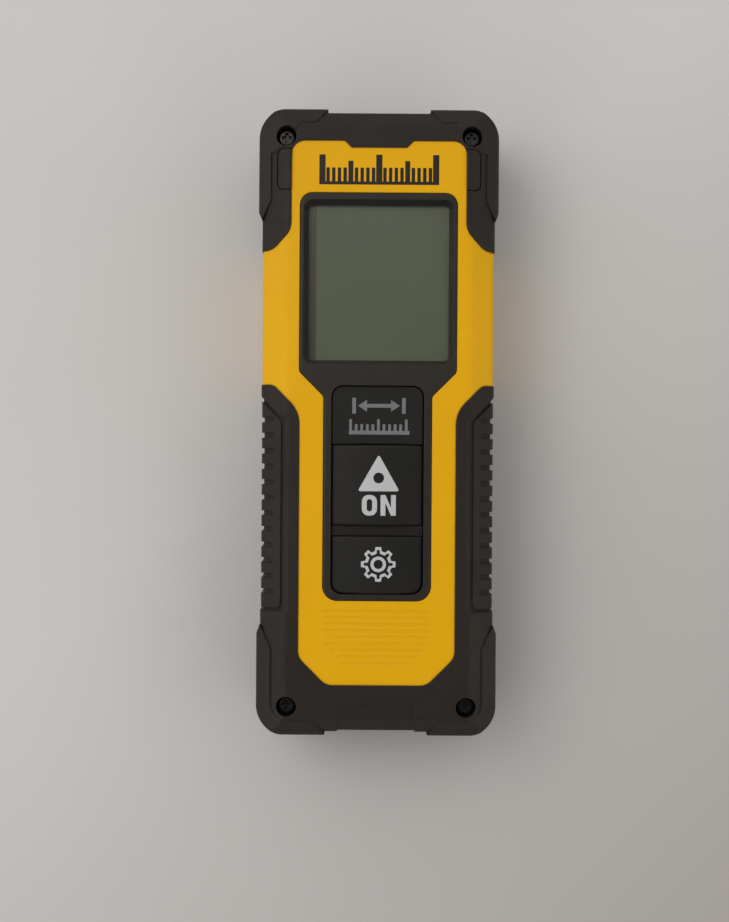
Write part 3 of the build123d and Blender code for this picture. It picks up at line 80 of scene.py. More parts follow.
BEVEL_SAMPLES = 6
EDGE_TURN: Point = (0.995, 0.86)
SPECKS_PER_PATCH = 11.0
SPECK_SHARE = 0.35
DRIFT_BAND: Point = (0.45, 0.9)
SCUFF_SIZE = 1.6
SCUFF_BAND: Point = (0.35, 0.75)
SCUFF_SHARE: Point = (0.25, 1.0)
SHINES_PER_PATCH = 5.0
SHINE_BAND: Point = (0.3, 0.7)


def linear(red: int, green: int, blue: int) -> Colour:
    """Turns an 8-bit display colour into a scene-linear one, by the usual display curve.

    Args:
        red: red from 0 to 255.
        green: green from 0 to 255.
        blue: blue from 0 to 255.

    Returns:
        The colour from 0 to 1.
    """
    return tuple(
        c / 12.92 if c <= 0.04045 else ((c + 0.055) / 1.055) ** 2.4
        for c in (red / 255, green / 255, blue / 255)
    )


def slot_of(material: bpy.types.Material) -> str:
    """The slot that a material stands for, without the number that a second copy carries."""
    return material.name.split(".")[0]


class Body(Enum):
    """The bodies that added pieces ride on."""

    HOUSING = "housing"
    MEASURE = "measure_key"
    SETTINGS = "settings_key"


class Detail(Enum):
    """How many finer layers a noise carries."""

    PLAIN = 2.0
    SOFT = 4.0
    RICH = 5.0


class Graph:
    """A node tree while it is being put together."""

    def __init__(self, tree: bpy.types.NodeTree) -> None:
        """Takes up a tree."""
        self.tree = tree

    def node(self, kind: str, **settings: object) -> bpy.types.Node:
        """Adds a node.

        Args:
            kind: the node's type.
            settings: its properties.

        Returns:
            The new node.
        """
        made = self.tree.nodes.new(kind)
        for key, value in settings.items():
            setattr(made, key, value)
        return made

    def join(self, start: Socket, end: Socket) -> None:
        """Links an output to an input."""
        self.tree.links.new(start, end)

    def feed(self, socket: Socket, value: object) -> None:
        """Links a socket, or sets it when the value is a plain number or colour.

        Args:
            socket: the input.
            value: an output, a number or a colour.
        """
        if isinstance(value, Socket):
            self.join(value, socket)
        elif isinstance(value, tuple) and socket.type == "RGBA":
            socket.default_value = (*value, 1.0)
        else:
            socket.default_value = value

    def combine(self, operation: str, *values: object) -> Socket:
        """Does one sum.

        Args:
            operation: the kind of sum.
            values: the numbers and sockets that go into it.

        Returns:
            The socket with the result.
        """
        maths = self.node("ShaderNodeMath", operation=operation)
        for socket, value in zip(maths.inputs, values):
            self.feed(socket, value)
        return maths.outputs["Value"]

    def ranged(self, value: Socket, source: Point, target: Point, kind: str = "LINEAR") -> Socket:
        """Maps one range of values onto another and holds it there.

        Args:
            value: the values.
            source: the range they come from.
            target: the range they go to.
            kind: how they go from one end to the other.

        Returns:
            The socket with the mapped values.
        """
        ranger = self.node("ShaderNodeMapRange", interpolation_type=kind)
        for name, number in zip(RANGE_SOCKETS, (*source, *target)):
            ranger.inputs[name].default_value = number
        self.join(value, ranger.inputs["Value"])
        return ranger.outputs["Result"]


class Paint(Graph):
    """The node tree of one material, with its patterns fixed to the piece."""

    def __init__(self, name: str) -> None:
        """Starts a material with a principled surface.

        Args:
            name: name of the new material.
        """
        self.material = bpy.data.materials.new(name)
        self.material.use_nodes = True
        super().__init__(self.material.node_tree)
        self.tree.nodes.clear()
        self.surface = self.node("ShaderNodeBsdfPrincipled")
        self.output = self.node("ShaderNodeOutputMaterial")
        self.join(self.surface.outputs["BSDF"], self.output.inputs["Surface"])
        self.place = self.node("ShaderNodeTexCoord").outputs["Object"]

    def noise(self, size: float, detail: Detail, stretch: Axes = EVEN) -> Socket:
        """A noise pattern.

        Args:
            size: length of its features in millimetres.
            detail: how many finer layers it carries.
            stretch: how much it is drawn out along each axis.

        Returns:
            The socket with values between 0 and 1.
        """
        scaled = self.node("ShaderNodeMapping")
        self.join(self.place, scaled.inputs["Vector"])
        scaled.inputs["Scale"].default_value = tuple(1.0 / (size * MM * s) for s in stretch)
        texture = self.node("ShaderNodeTexNoise")
        self.join(scaled.outputs["Vector"], texture.inputs["Vector"])
        texture.inputs["Scale"].default_value = 1.0
        texture.inputs["Detail"].default_value = detail.value
        return texture.outputs["Fac"]

    def blend(self, share: object, first: object, second: object) -> Socket:
        """Mixes two colours.

        Args:
            share: how much of the second there is, from 0 to 1.
            first: the first colour.
            second: the second colour.

        Returns:
            The socket with the mixture.
        """
        mixer = self.node("ShaderNodeMix", data_type="RGBA")
        for name, value in (("Factor", share), ("A", first), ("B", second)):
            self.feed(mixer.inputs[name], value)
        return mixer.outputs["Result"]

    def axis(self, name: str) -> Socket:
        """Reads one coordinate of the piece.

        Args:
            name: X, Y or Z.

        Returns:
            The socket with the coordinate in metres.
        """
        split = self.node("ShaderNodeSeparateXYZ")
        self.join(self.place, split.inputs["Vector"])
        return split.outputs[name]

    def rounded(self, radius: float) -> Socket:
        """Makes a normal that turns over edges as if they were rounded.

        Args:
            radius: the rounding in millimetres.

        Returns:
            The normal socket.
        """
        bevel = self.node("ShaderNodeBevel", samples=BEVEL_SAMPLES)
        bevel.inputs["Radius"].default_value = radius * MM
        return bevel.outputs["Normal"]

    def edges(self, turned: Socket) -> Socket:
        """Masks the edges, where the rounded normal leaves the true one.

        Args:
            turned: the rounded normal.

        Returns:
            The socket with 1 on the edges.
        """
        dot = self.node("ShaderNodeVectorMath", operation="DOT_PRODUCT")
        self.join(turned, dot.inputs[0])
        self.join(self.node("ShaderNodeNewGeometry").outputs["Normal"], dot.inputs[1])
        return self.ranged(dot.outputs["Value"], EDGE_TURN, WHOLE)

    def relief(self, height: Socket, depth: float, under: Socket) -> Socket:
        """Turns a height pattern into a bumped normal.

        Args:
            height: pattern between 0 and 1.
            depth: how deep it goes, in millimetres.
            under: the normal that it lies on.

        Returns:
            The normal socket.
        """
        bump = self.node("ShaderNodeBump")
        bump.inputs["Strength"].default_value = 1.0
        bump.inputs["Distance"].default_value = depth * MM
        self.join(height, bump.inputs["Height"])
        self.join(under, bump.inputs["Normal"])
        return bump.outputs["Normal"]


@dataclass(frozen=True)
class Finish:
    """A solid surface: its colour and how it wanders, its texture, its gloss and its rubbed edges."""

    name: str
    colour: Colour
    drift: Colour
    roughness: Point = (0.45, 0.55)
    patch: float = 14.0
    grain: float = 0.25
    depth: float = 0.004
    stretch: Axes = EVEN
    round: float = 0.15
    wear: float = 0.25
    # colour of rubbed edges; on the display face it is also the paler colour of its painted shading
    rub_and_painted_light: Colour = (0.5, 0.5, 0.5)
    metallic: float = 0.0
    specular: float = 0.5

    def make(self) -> bpy.types.Material:
        """Builds the material.

        Returns:
            The finished material.
        """
        paint = Paint(self.name)
        inputs = paint.surface.inputs
        turned = paint.rounded(self.round)
        large = paint.noise(self.patch, Detail.SOFT)
        small = paint.noise(self.patch / SPECKS_PER_PATCH, Detail.PLAIN, self.stretch)
        mottle = paint.combine("ADD", large, paint.combine("MULTIPLY", small, SPECK_SHARE))
        share = paint.ranged(mottle, DRIFT_BAND, WHOLE)
        body = self.coloured(paint, paint.blend(share, self.colour, self.drift))
        scuffed = paint.ranged(paint.noise(SCUFF_SIZE, Detail.RICH), SCUFF_BAND, SCUFF_SHARE)
        worn = paint.combine("MULTIPLY", paint.combine("MULTIPLY", paint.edges(turned), scuffed), self.wear)
        paint.feed(inputs["Base Color"], paint.blend(worn, body, self.rub_and_painted_light))
        shine = paint.noise(self.patch / SHINES_PER_PATCH, Detail.RICH, self.stretch)
        paint.feed(inputs["Roughness"], paint.ranged(shine, SHINE_BAND, self.roughness))
        height = paint.noise(self.grain, Detail.PLAIN, self.stretch)
        paint.feed(inputs["Normal"], paint.relief(height, self.depth, turned))
        inputs["Metallic"].default_value = self.metallic
        inputs["Specular IOR Level"].default_value = self.specular
        return paint.material

    def coloured(self, paint: Paint, body: Socket) -> Socket:
        """Lets a kind of finish draw its own pattern over the plain colour."""
        return body


@dataclass(frozen=True)
class Circuit(Finish):
    """Solder resist with faint copper tracks under it."""

    track: Colour = (0.02, 0.16, 0.07)
    pitch: float = 420.0
    width: float = 0.05
    fields: Point = (0.0, 0.25)

    def coloured(self, paint: Paint, body: Socket) -> Socket:
        """Draws straight tracks round plain fields.

        Args:
            paint: the material.
            body: the colour so far.

        Returns:
            The colour with the tracks.
        """
        bricks = paint.node("ShaderNodeTexBrick", offset=0.5)
        paint.join(paint.place, bricks.inputs["Vector"])
        bricks.inputs["Scale"].default_value = self.pitch
        bricks.inputs["Mortar Size"].default_value = self.width
        for name, share in zip(("Color1", "Color2", "Mortar"), (*self.fields, 1.0)):
            paint.feed(bricks.inputs[name], (share, share, share))
        return paint.blend(bricks.outputs["Color"], body, self.track)


@dataclass(frozen=True)
class Banded(Finish):
    """A printed cell sleeve: one colour with a band of another towards one end."""

    band: Colour = (0.6, 0.3, 0.05)
    edge: float = -14.0
    blur: float = 0.1

    def coloured(self, paint: Paint, body: Socket) -> Socket:
        """Paints the band beyond a line across the cell."""
        share = paint.ranged(paint.axis("Y"), (self.edge * MM, (self.edge + self.blur) * MM), WHOLE)
        return paint.blend(share, body, self.band)


@dataclass(frozen=True)
class Liquid(Finish):
    """A reflective display face without a reading, with painted shading: darker towards the upper left, paler
    towards the lower right, as the light falls into its window.
    """

    top: float = 38.0
    bottom: float = 11.0
    side: float = 12.0
    across_share: float = 0.6
    painted_light_share: float = 0.5

    def coloured(self, paint: Paint, body: Socket) -> Socket:
        """Paints shading: makes the lower right a little paler than the upper left.

        Args:
            paint: the material.
            body: the colour so far.

        Returns:
            The colour with the paler corner.
        """
        # painted shading: the face pales towards the lower right, away from the shaded upper left
        along = paint.ranged(paint.axis("Y"), (self.top * MM, self.bottom * MM), WHOLE)
        across = paint.ranged(paint.axis("X"), (-self.side * MM, self.side * MM), (0.0, self.across_share))
        share = paint.combine("MULTIPLY", paint.combine("ADD", along, across), self.painted_light_share)
        return paint.blend(share, body, self.rub_and_painted_light)


@dataclass(frozen=True)
class Clear:
    """A thin clear sheet or lens: it shows what is behind it and mirrors the room a little."""

    name: str
    tint: Colour
    roughness: float = 0.04
    index: float = 1.49
    smear_size: float = 7.0
    smear_band: Point = (0.35, 0.7)
    smear_gain: float = 3.0
    haze_size: float = 5.0
    haze: float = 0.97

    def make(self) -> bpy.types.Material:
        """Builds the material.

        Returns:
            The finished material.
        """
        paint = Paint(self.name)
        matt = (self.roughness, self.roughness * self.smear_gain)
        smear = paint.ranged(paint.noise(self.smear_size, Detail.RICH), self.smear_band, matt)
        gloss = paint.node("ShaderNodeBsdfGlossy")
        paint.join(smear, gloss.inputs["Roughness"])
        through = paint.node("ShaderNodeBsdfTransparent")
        dimmer = tuple(self.haze * c for c in self.tint)
        hazed = paint.blend(paint.noise(self.haze_size, Detail.SOFT), self.tint, dimmer)
        paint.join(hazed, through.inputs["Color"])
        grazing = paint.node("ShaderNodeFresnel")
        grazing.inputs["IOR"].default_value = self.index
        both = paint.node("ShaderNodeMixShader")
        sources = (grazing.outputs["Fac"], through.outputs["BSDF"], gloss.outputs["BSDF"])
        for source, target in zip(sources, both.inputs):
            paint.join(source, target)
        paint.tree.nodes.remove(paint.surface)
        paint.join(both.outputs["Shader"], paint.output.inputs["Surface"])
        return paint.material


FINISHES: tuple[Finish | Clear, ...] = (
    Finish("yellow_abs", (0.672, 0.348, 0.0015), (0.64, 0.328, 0.0013), (0.4, 0.5), patch=22.0, grain=0.22,
           depth=0.0025, round=0.35, rub_and_painted_light=(0.83, 0.5, 0.05), specular=0.14),
    Finish("black_tpe", linear(37, 31, 26), linear(33, 27, 22), (0.45, 0.58), patch=9.0, grain=0.2, depth=0.006,
           round=0.3, wear=0.35, rub_and_painted_light=linear(76, 68, 60), specular=0.18),
    Finish("charcoal_abs", linear(37, 32, 26), linear(32, 28, 23), (0.4, 0.5), patch=9.0, grain=0.18,
           depth=0.003, wear=0.35, rub_and_painted_light=linear(70, 64, 57), specular=0.25),
    Finish("keypad_rubber", linear(23, 20, 17), linear(18, 17, 14), (0.5, 0.6), patch=7.0, grain=0.16,
           depth=0.003, round=0.2, wear=0.3, rub_and_painted_light=linear(52, 50, 48), specular=0.22),
    # the face's lighter colour serves its rubbed edges and its painted shading, which pales it towards the
    # lower right
    Liquid("lcd_face", linear(133, 136, 111), linear(130, 133, 108), (0.45, 0.55), patch=10.0, grain=0.2,
           depth=0.0005, round=0.05, wear=0.1, rub_and_painted_light=linear(142, 145, 118), specular=0.3),
    Finish("lcd_cell", linear(120, 109, 90), linear(112, 102, 84), (0.12, 0.2), patch=8.0, grain=0.3,
           depth=0.0003, round=0.05, wear=0.2, rub_and_painted_light=linear(140, 150, 140)),
    Finish("white_plastic", linear(214, 212, 204), linear(205, 203, 196)),
    Finish("contact_rubber", linear(150, 105, 112), linear(60, 60, 62), (0.6, 0.7), patch=0.6),
    Finish("spring_steel", linear(192, 190, 186), linear(176, 175, 172), (0.22, 0.34), patch=3.0, grain=0.12,
           depth=0.002, metallic=1.0, rub_and_painted_light=linear(225, 224, 220)),
    Circuit("board_green", linear(24, 84, 48), linear(20, 74, 42), (0.28, 0.38), patch=8.0),
    Finish("chip_black", linear(34, 34, 36), linear(44, 44, 46), (0.5, 0.6), patch=2.0, grain=0.1, depth=0.002),
    Finish("zinc_screw", linear(186, 187, 190), linear(168, 168, 172), (0.25, 0.4), patch=2.0, grain=0.15,
           depth=0.002, metallic=1.0, rub_and_painted_light=linear(220, 220, 224)),
    Finish("black_screw", linear(20, 19, 18), linear(16, 15, 15), (0.2, 0.3), patch=2.5, grain=0.3,
           depth=0.0008, round=0.12, wear=0.12, rub_and_painted_light=linear(52, 50, 48)),
    Finish("cell_can", linear(196, 196, 194), linear(182, 182, 180), (0.2, 0.3), patch=6.0,
           stretch=(8.0, 1.0, 8.0), metallic=1.0, rub_and_painted_light=linear(225, 225, 224)),
    Banded("cell_sleeve", linear(34, 40, 52), linear(30, 36, 48), (0.2, 0.3), patch=12.0,
           band=linear(150, 154, 160)),
    Finish("nickel_contact", linear(200, 196, 186), linear(186, 182, 172), (0.24, 0.36), patch=4.0, grain=0.15,
           depth=0.002, metallic=1.0, rub_and_painted_light=linear(228, 226, 220)),
    Finish("door_black", linear(48, 46, 45), linear(42, 41, 40), (0.5, 0.6), patch=8.0, grain=0.2, depth=0.006,
           wear=0.35, rub_and_painted_light=linear(90, 88, 86)),
    Finish("door_foam", linear(58, 58, 60), linear(44, 44, 46), (0.85, 0.95), patch=1.2, grain=0.35,
           depth=0.06, specular=0.2),
    Finish("chassis_black", linear(40, 40, 41), linear(34, 34, 35), (0.5, 0.6), patch=6.0),
    Finish("barrel_brass", linear(196, 160, 92), linear(180, 144, 80), (0.2, 0.32), patch=3.0,
           stretch=(6.0, 1.0, 6.0), metallic=1.0, rub_and_painted_light=linear(222, 192, 130)),
    Finish("gold_flex", linear(186, 122, 44), linear(168, 108, 38), (0.3, 0.4), patch=2.0),
    Finish("aperture_black", linear(30, 30, 31), linear(25, 25, 26), (0.3, 0.4), patch=5.0, grain=0.15,
           depth=0.002, wear=0.35, rub_and_painted_light=linear(80, 80, 82)),
    Finish("seal_rubber", linear(44, 44, 45), linear(36, 36, 37), (0.7, 0.8), patch=4.0),
    Finish("label_silver", linear(168, 169, 170), linear(158, 159, 161), (0.34, 0.42), patch=6.0, grain=0.5,
           depth=0.0006, round=0.05, wear=0.2, rub_and_painted_light=linear(205, 206, 208), metallic=0.35),
    Clear("clear_window", (0.93, 0.95, 0.94)),
    Clear("lens_glass", (0.55, 0.34, 0.42), 0.02, 1.7),
)

INKS: tuple[Finish, ...] = (
    Finish("ink_light", linear(176, 179, 177), linear(168, 171, 169), (0.5, 0.6), patch=3.0, grain=0.12,
           depth=0.002, round=0.02, wear=0.0),
    Finish("ink_grey", linear(104, 104, 104), linear(96, 96, 96), (0.5, 0.6), patch=3.0, grain=0.12,
           depth=0.002, round=0.02, wear=0.0),
    Finish("ink_dark", linear(38, 31, 24), linear(32, 26, 20), (0.4, 0.5), patch=4.0, grain=0.15, depth=0.002,
           round=0.02, wear=0.0, specular=0.2),
)


class Finishes:
    """Every material of the meter, made once and handed out by name."""

    def __init__(self) -> None:
        """Makes the materials of the frame's slots and of the inks."""
        self.made = {finish.name: finish.make() for finish in (*FINISHES, *INKS)}

    def give(self, piece: bpy.types.Object, name: str) -> None:
        """Puts one material on a whole piece."""
        piece.data.materials.clear()
        piece.data.materials.append(self.made[name])

    def dress(self, node: str) -> None:
        """Gives an engineering part the material of its own slot."""
        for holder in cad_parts[node].material_slots:
            holder.material = self.made[slot_of(holder.material)]


def piece_from(shape: bmesh.types.BMesh, name: str, body: Body) -> bpy.types.Object:
    """Turns a mesh under construction into a finished piece.

    Args:
        shape: the mesh, which is used up.
        name: the piece's name.
        body: what it moves with.

    Returns:
        The new object, at the origin.
    """
    bmesh.ops.remove_doubles(shape, verts=shape.verts, dist=MERGE_GAP)
    bmesh.ops.recalc_face_normals(shape, faces=shape.faces)
    mesh = bpy.data.meshes.new(name)
    shape.to_mesh(mesh)
    shape.free()
    made = bpy.data.objects.new(name, mesh)
    bpy.context.scene.collection.objects.link(made)
    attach(made, body.value)
    return made


def spin_round(shape: bmesh.types.BMesh, section: list, x: float, y: float, steps: int) -> None:
    """Spins a section all the way round an upright axis.

    Args:
        shape: the mesh that holds it.
        section: its vertices and edges.
        x: where the axis stands across, in metres.
        y: where the axis stands along, in metres.
        steps: how many steps make the full turn.
    """
    bmesh.ops.spin(
        shape, geom=section, cent=(x, y, 0.0), axis=UPRIGHT, angle=math.tau, steps=steps, use_merge=True,
    )


def shifted(loop: Loop, x: float, y: float) -> Loop:
    """A loop moved sideways."""
    return [(px + x, py + y) for px, py in loop]


def ring(radius: float, count: int) -> Loop:
    """A regular polygon round the origin."""
    turns = [math.tau * k / count for k in range(count)]
    return [(radius * math.cos(turn), radius * math.sin(turn)) for turn in turns]


def bar(x0: float, y0: float, x1: float, y1: float) -> Loop:
    """A rectangle between two corners."""
    return [(x0, y0), (x1, y0), (x1, y1), (x0, y1)]


def softened(corners: Loop, radius: float, steps: int = 5) -> Loop:
    """A polygon with its corners rounded.

    Args:
        corners: the sharp corners in order.
        radius: the rounding.
        steps: points along each rounded corner.

    Returns:
        The rounded loop.
    """
    loop: Loop = []
    for before, corner, after in zip(corners[-1:] + corners[:-1], corners, corners[1:] + corners[:1]):
        here = Vector(corner)
        back = (Vector(before) - here).normalized()
        ahead = (Vector(after) - here).normalized()
        half = back.angle(ahead) / 2
        reach = radius / math.tan(half)
        centre = here + (back + ahead).normalized() * (radius / math.sin(half))
        first = here + back * reach - centre
        last = here + ahead * reach - centre
        for k in range(steps + 1):
            spoke = first.slerp(last, k / steps, first)
            loop.append(tuple(centre + spoke.normalized() * radius))
    return loop


@dataclass(frozen=True)
class Print:
    """A flat ink mark that lies on the surface under it."""

    name: str
    loops: tuple[Loop, ...]
    ink: str
    host: str
    body: Body
    strip: float = 0.5
    thickness: float = 0.012
    sink: float = 0.004
    ray_start: float = 1.0

    def filled(self) -> bmesh.types.BMesh:
        """Fills the loops and cuts the sheet into strips, so that it can follow a curved surface.

        Returns:
            The flat sheet.
        """
        shape = bmesh.new()
        for loop in self.loops:
            corners = [shape.verts.new((x * MM, y * MM, 0.0)) for x, y in loop]
            for pair in zip(corners, corners[1:] + corners[:1]):
                shape.edges.new(pair)
        bmesh.ops.triangle_fill(shape, use_beauty=True, use_dissolve=False, edges=shape.edges[:])
        across = [x for loop in self.loops for x, _ in loop]
        cut = math.ceil(min(across) / self.strip) * self.strip
        while cut < max(across):
            bmesh.ops.bisect_plane(
                shape, geom=shape.verts[:] + shape.edges[:] + shape.faces[:], dist=CUT_GAP,
                plane_co=(cut * MM, 0.0, 0.0), plane_no=CROSSWISE,
            )
            cut += self.strip
        return shape

    def build(self, finishes: Finishes) -> bpy.types.Object:
        """Lays the sheet on the host, makes it thick and gives it its ink.

        Args:
            finishes: the materials.

        Returns:
            The printed piece.
        """
        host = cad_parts[self.host]
        ground = BVHTree.FromPolygons(
            [v.co for v in host.data.vertices], [p.vertices for p in host.data.polygons]
        )
        shape = self.filled()
        for vert in shape.verts:
            hit = ground.ray_cast(Vector((vert.co.x, vert.co.y, self.ray_start)), -Vector(UPRIGHT))[0]
            vert.co.z = hit.z - self.sink * MM
        walls = bmesh.ops.extrude_face_region(shape, geom=shape.faces[:], use_keep_orig=True)
        for vert in (item for item in walls["geom"] if isinstance(item, bmesh.types.BMVert)):
            vert.co.z += (self.sink + self.thickness) * MM
        piece = piece_from(shape, self.name, self.body)
        finishes.give(piece, self.ink)
        return piece


@dataclass(frozen=True)
class Assembly:
    """A group of engineering parts that are dressed together, with the pieces added to them."""

    nodes: tuple[str, ...] = ()

    def dress(self, finishes: Finishes) -> None:
        """Finishes the parts, then builds and reports what is added.

        Args:
            finishes: the materials.
        """
        for node in self.nodes:
            finishes.dress(node)
        for piece in self.added(finishes):
            LOG.info("built %s", piece.name)
        LOG.info("dressed %s", type(self).__name__)

    def added(self, finishes: Finishes) -> list[bpy.types.Object]:
        """Builds the pieces that this group adds."""
        return []


@dataclass(frozen=True)
class Housing(Assembly):
    """The two moulded halves, their seal, the plain label on the back and the ruler motif on the front."""

    nodes: tuple[str, ...] = ("front_housing", "rear_housing", "housing_gasket", "blank_label")
    motif_half: float = 10.6
    motif_low: float = 42.0
    motif_high: float = 47.3
    motif_strip: float = 1.0
    line: float = 0.55
    divisions: int = 20
    long_every: int = 10
    middling_every: int = 5
    middling_drop: float = 1.1
    short_drop: float = 2.3
    middling_line: float = 0.8
    short_line: float = 0.55

    def motif(self) -> tuple[Loop, ...]:
        """A ruler's edge with long and short divisions, as one closed outline.

        Returns:
            The outline, as the only loop.
        """
        base = self.motif_low + self.line
        loop: Loop = [(-self.motif_half, self.motif_low), (self.motif_half, self.motif_low)]
        step = 2 * (self.motif_half - self.line) / self.divisions
        for k in range(self.divisions, -1, -1):
            centre = -self.motif_half + self.line + k * step
            if k % self.long_every == 0:
                top, half = self.motif_high, self.line
            elif k % self.middling_every == 0:
                top, half = self.motif_high - self.middling_drop, self.line * self.middling_line
            else:
                top, half = self.motif_high - self.short_drop, self.line * self.short_line
            loop += [(centre + half, base), (centre + half, top), (centre - half, top), (centre - half, base)]
        return (loop[:2] + loop[3:-1],)

    def added(self, finishes: Finishes) -> list[bpy.types.Object]:
        """Prints the motif."""
        motif = Print("ruler_motif", self.motif(), "ink_dark", "front_housing", Body.HOUSING, self.motif_strip)
        return [motif.build(finishes)]


@dataclass(frozen=True)
class Overmolds(Assembly):
    """The soft black skins with their bumpers, grips and notches, and black rings at the foot of the screw
    holes that stand for the shade there.
    """

    nodes: tuple[str, ...] = ("upper_overmold", "lower_overmold", "rear_upper_overmold", "rear_lower_overmold")
    hole_spots: tuple[Point, ...] = ((-16.45, 50.6), (16.45, 50.6), (-15.9, -50.45), (15.9, -50.45))
    head_height: float = 1.2
    shade_ring_inner: float = 1.61
    shade_ring_outer: float = 1.82
    shade_ring_thick: float = 0.12
    shade_ring_steps: int = 32

    def added(self, finishes: Finishes) -> list[bpy.types.Object]:
        """Builds a thin black ring at the foot of each screw hole, round the screw's head: a dark sheet for
        painted shade in the hole.

        Args:
            finishes: the materials.

        Returns:
            The four rings, as one piece.
        """
        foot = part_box("housing_screws")[1].z / MM - self.head_height
        section = bar(self.shade_ring_inner, foot, self.shade_ring_outer, foot + self.shade_ring_thick)
        shape = bmesh.new()
        for x, y in self.hole_spots:
            verts = [shape.verts.new(((x + across) * MM, y * MM, up * MM)) for across, up in section]
            edges = [shape.edges.new(pair) for pair in zip(verts, verts[1:] + verts[:1])]
            spin_round(shape, verts + edges, x * MM, y * MM, self.shade_ring_steps)
        # painted shade: the rings are a dark sheet, shaped like a rubber lip, that darkens the foot of each
        # hole
        piece = piece_from(shape, "screw_hole_shade_rings", Body.HOUSING)
        finishes.give(piece, "black_tpe")
        return [piece]


@dataclass(frozen=True)
class Display(Assembly):
    """The charcoal bezel, its clear window and the readout under it."""

    nodes: tuple[str, ...] = ("display_bezel", "display_window", "lcd_polarizer", "lcd_glass", "lcd_reflector",
                              "lcd_holder", "contact_strip")


@dataclass(frozen=True)
class DistanceMark:
    """A double-headed arrow between two end posts, over a short scale."""

    posts: tuple[Point, ...] = ((-4.5, -3.85), (4.3, 4.95))
    post_low: float = 1.51
    post_high: float = 4.32
    tip_left: float = -3.5
    tip_right: float = 3.95
    head_left: float = -1.9
    head_right: float = 2.35
    head_low: float = 1.88
    head_high: float = 3.95
    shaft_low: float = 2.58
    shaft_high: float = 3.25
    middle: float = 2.92
    scale_left: float = -5.07
    scale_right: float = 5.64
    scale_low: float = -2.18
    scale_high: float = -1.5
    first_line: float = -4.78
    line_step: float = 0.9845
    line_half: float = 0.24
    lines: int = 11
    long_every: int = 5
    long_top: float = 0.51
    short_top: float = -0.35

    def loops(self) -> tuple[Loop, ...]:
        """Draws the arrow, its posts and the scale.

        Returns:
            Their outlines.
        """
        arrow = [
            (self.tip_left, self.middle), (self.head_left, self.head_high),
            (self.head_left, self.shaft_high), (self.head_right, self.shaft_high),
            (self.head_right, self.head_high), (self.tip_right, self.middle),
            (self.head_right, self.head_low), (self.head_right, self.shaft_low),
            (self.head_left, self.shaft_low), (self.head_left, self.head_low),
        ]
        left_post, right_post = (bar(x0, self.post_low, x1, self.post_high) for x0, x1 in self.posts)
        loops = [left_post, arrow, right_post]
        loops.append(bar(self.scale_left, self.scale_low, self.scale_right, self.scale_high))
        for k in range(self.lines):
            x = self.first_line + k * self.line_step
            top = self.long_top if k % self.long_every == 0 else self.short_top
            loops.append(bar(x - self.line_half, self.scale_high, x + self.line_half, top))
        return tuple(loops)


@dataclass(frozen=True)
class AimMark:
    """A solid arrowhead towards the laser end, with a round eye."""

    half: float = 3.7
    base: float = -12.2
    tip: float = -5.7
    middle: float = 0.24
    corner: float = 0.25
    eye: float = 0.95
    eye_height: float = -9.85
    eye_steps: int = 32

    def loops(self) -> tuple[Loop, ...]:
        """Draws the arrowhead and its eye.

        Returns:
            Their outlines.
        """
        left, right = self.middle - self.half, self.middle + self.half
        corners = [(self.middle, self.tip), (left, self.base), (right, self.base)]
        eye = shifted(ring(self.eye, self.eye_steps), self.middle, self.eye_height)
        return (softened(corners, self.corner), eye)


@dataclass(frozen=True)
class StartWord:
    """The word ON in plain block letters."""

    low: float = -16.5
    high: float = -12.85
    stroke: float = 0.86
    round_left: float = -2.7
    round_right: float = -0.02
    round_outer: float = 1.15
    round_inner: float = 0.5
    flat_share: float = 0.85
    left: float = 0.6
    right: float = 3.3
    slant: float = 1.35

    def loops(self) -> tuple[Loop, ...]:
        """Draws both letters.

        Returns:
            Their outlines.
        """
        low, high, stroke = self.low, self.high, self.stroke
        flat = stroke * self.flat_share
        outside = bar(self.round_left, low, self.round_right, high)
        inside = bar(self.round_left + stroke, low + flat, self.round_right - stroke, high - flat)
        left, right = self.left, self.right
        letter = [
            (left, low), (left + stroke, low), (left + stroke, high - self.slant), (right - stroke, low),
            (right, low), (right, high), (right - stroke, high), (right - stroke, low + self.slant),
            (left + stroke, high), (left, high),
        ]
        return (softened(outside, self.round_outer), softened(inside, self.round_inner), letter)


@dataclass(frozen=True)
class GearMark:
    """An outlined gear wheel with a ring at its middle.

    The teeth's half-widths are in radians, at the foot and at the tip.
    """

    centre: Point = (0.26, -25.11)
    teeth: int = 8
    tip: float = 3.1
    root: float = 2.4
    widths: Point = (0.25, 0.17)
    line: float = 0.52
    inner_root: float = 1.9
    inner_widths: Point = (0.15, 0.1)
    corner: float = 0.14
    corner_steps: int = 3
    hub: float = 1.38
    hub_steps: int = 28
    hole: float = 0.82
    hole_steps: int = 24

    def wheel(self, tip: float, root: float, widths: Point) -> Loop:
        """A toothed outline.

        Args:
            tip: the radius at the teeth's tips.
            root: the radius between the teeth.
            widths: a tooth's half-widths at its foot and at its tip.

        Returns:
            The outline round the origin.
        """
        wide, narrow = widths
        loop: Loop = []
        for k in range(self.teeth):
            turn = math.tau * k / self.teeth
            for angle, radius in ((-wide, root), (-narrow, tip), (narrow, tip), (wide, root)):
                loop.append((radius * math.cos(turn + angle), radius * math.sin(turn + angle)))
        return softened(loop, self.corner, self.corner_steps)

    def loops(self) -> tuple[Loop, ...]:
        """Draws the wheel and the ring.

        Returns:
            Their outlines.
        """
        outlines = (
            self.wheel(self.tip, self.root, self.widths),
            self.wheel(self.tip - self.line, self.inner_root, self.inner_widths),
            ring(self.hub, self.hub_steps),
            ring(self.hole, self.hole_steps),
        )
        return tuple(shifted(outline, *self.centre) for outline in outlines)


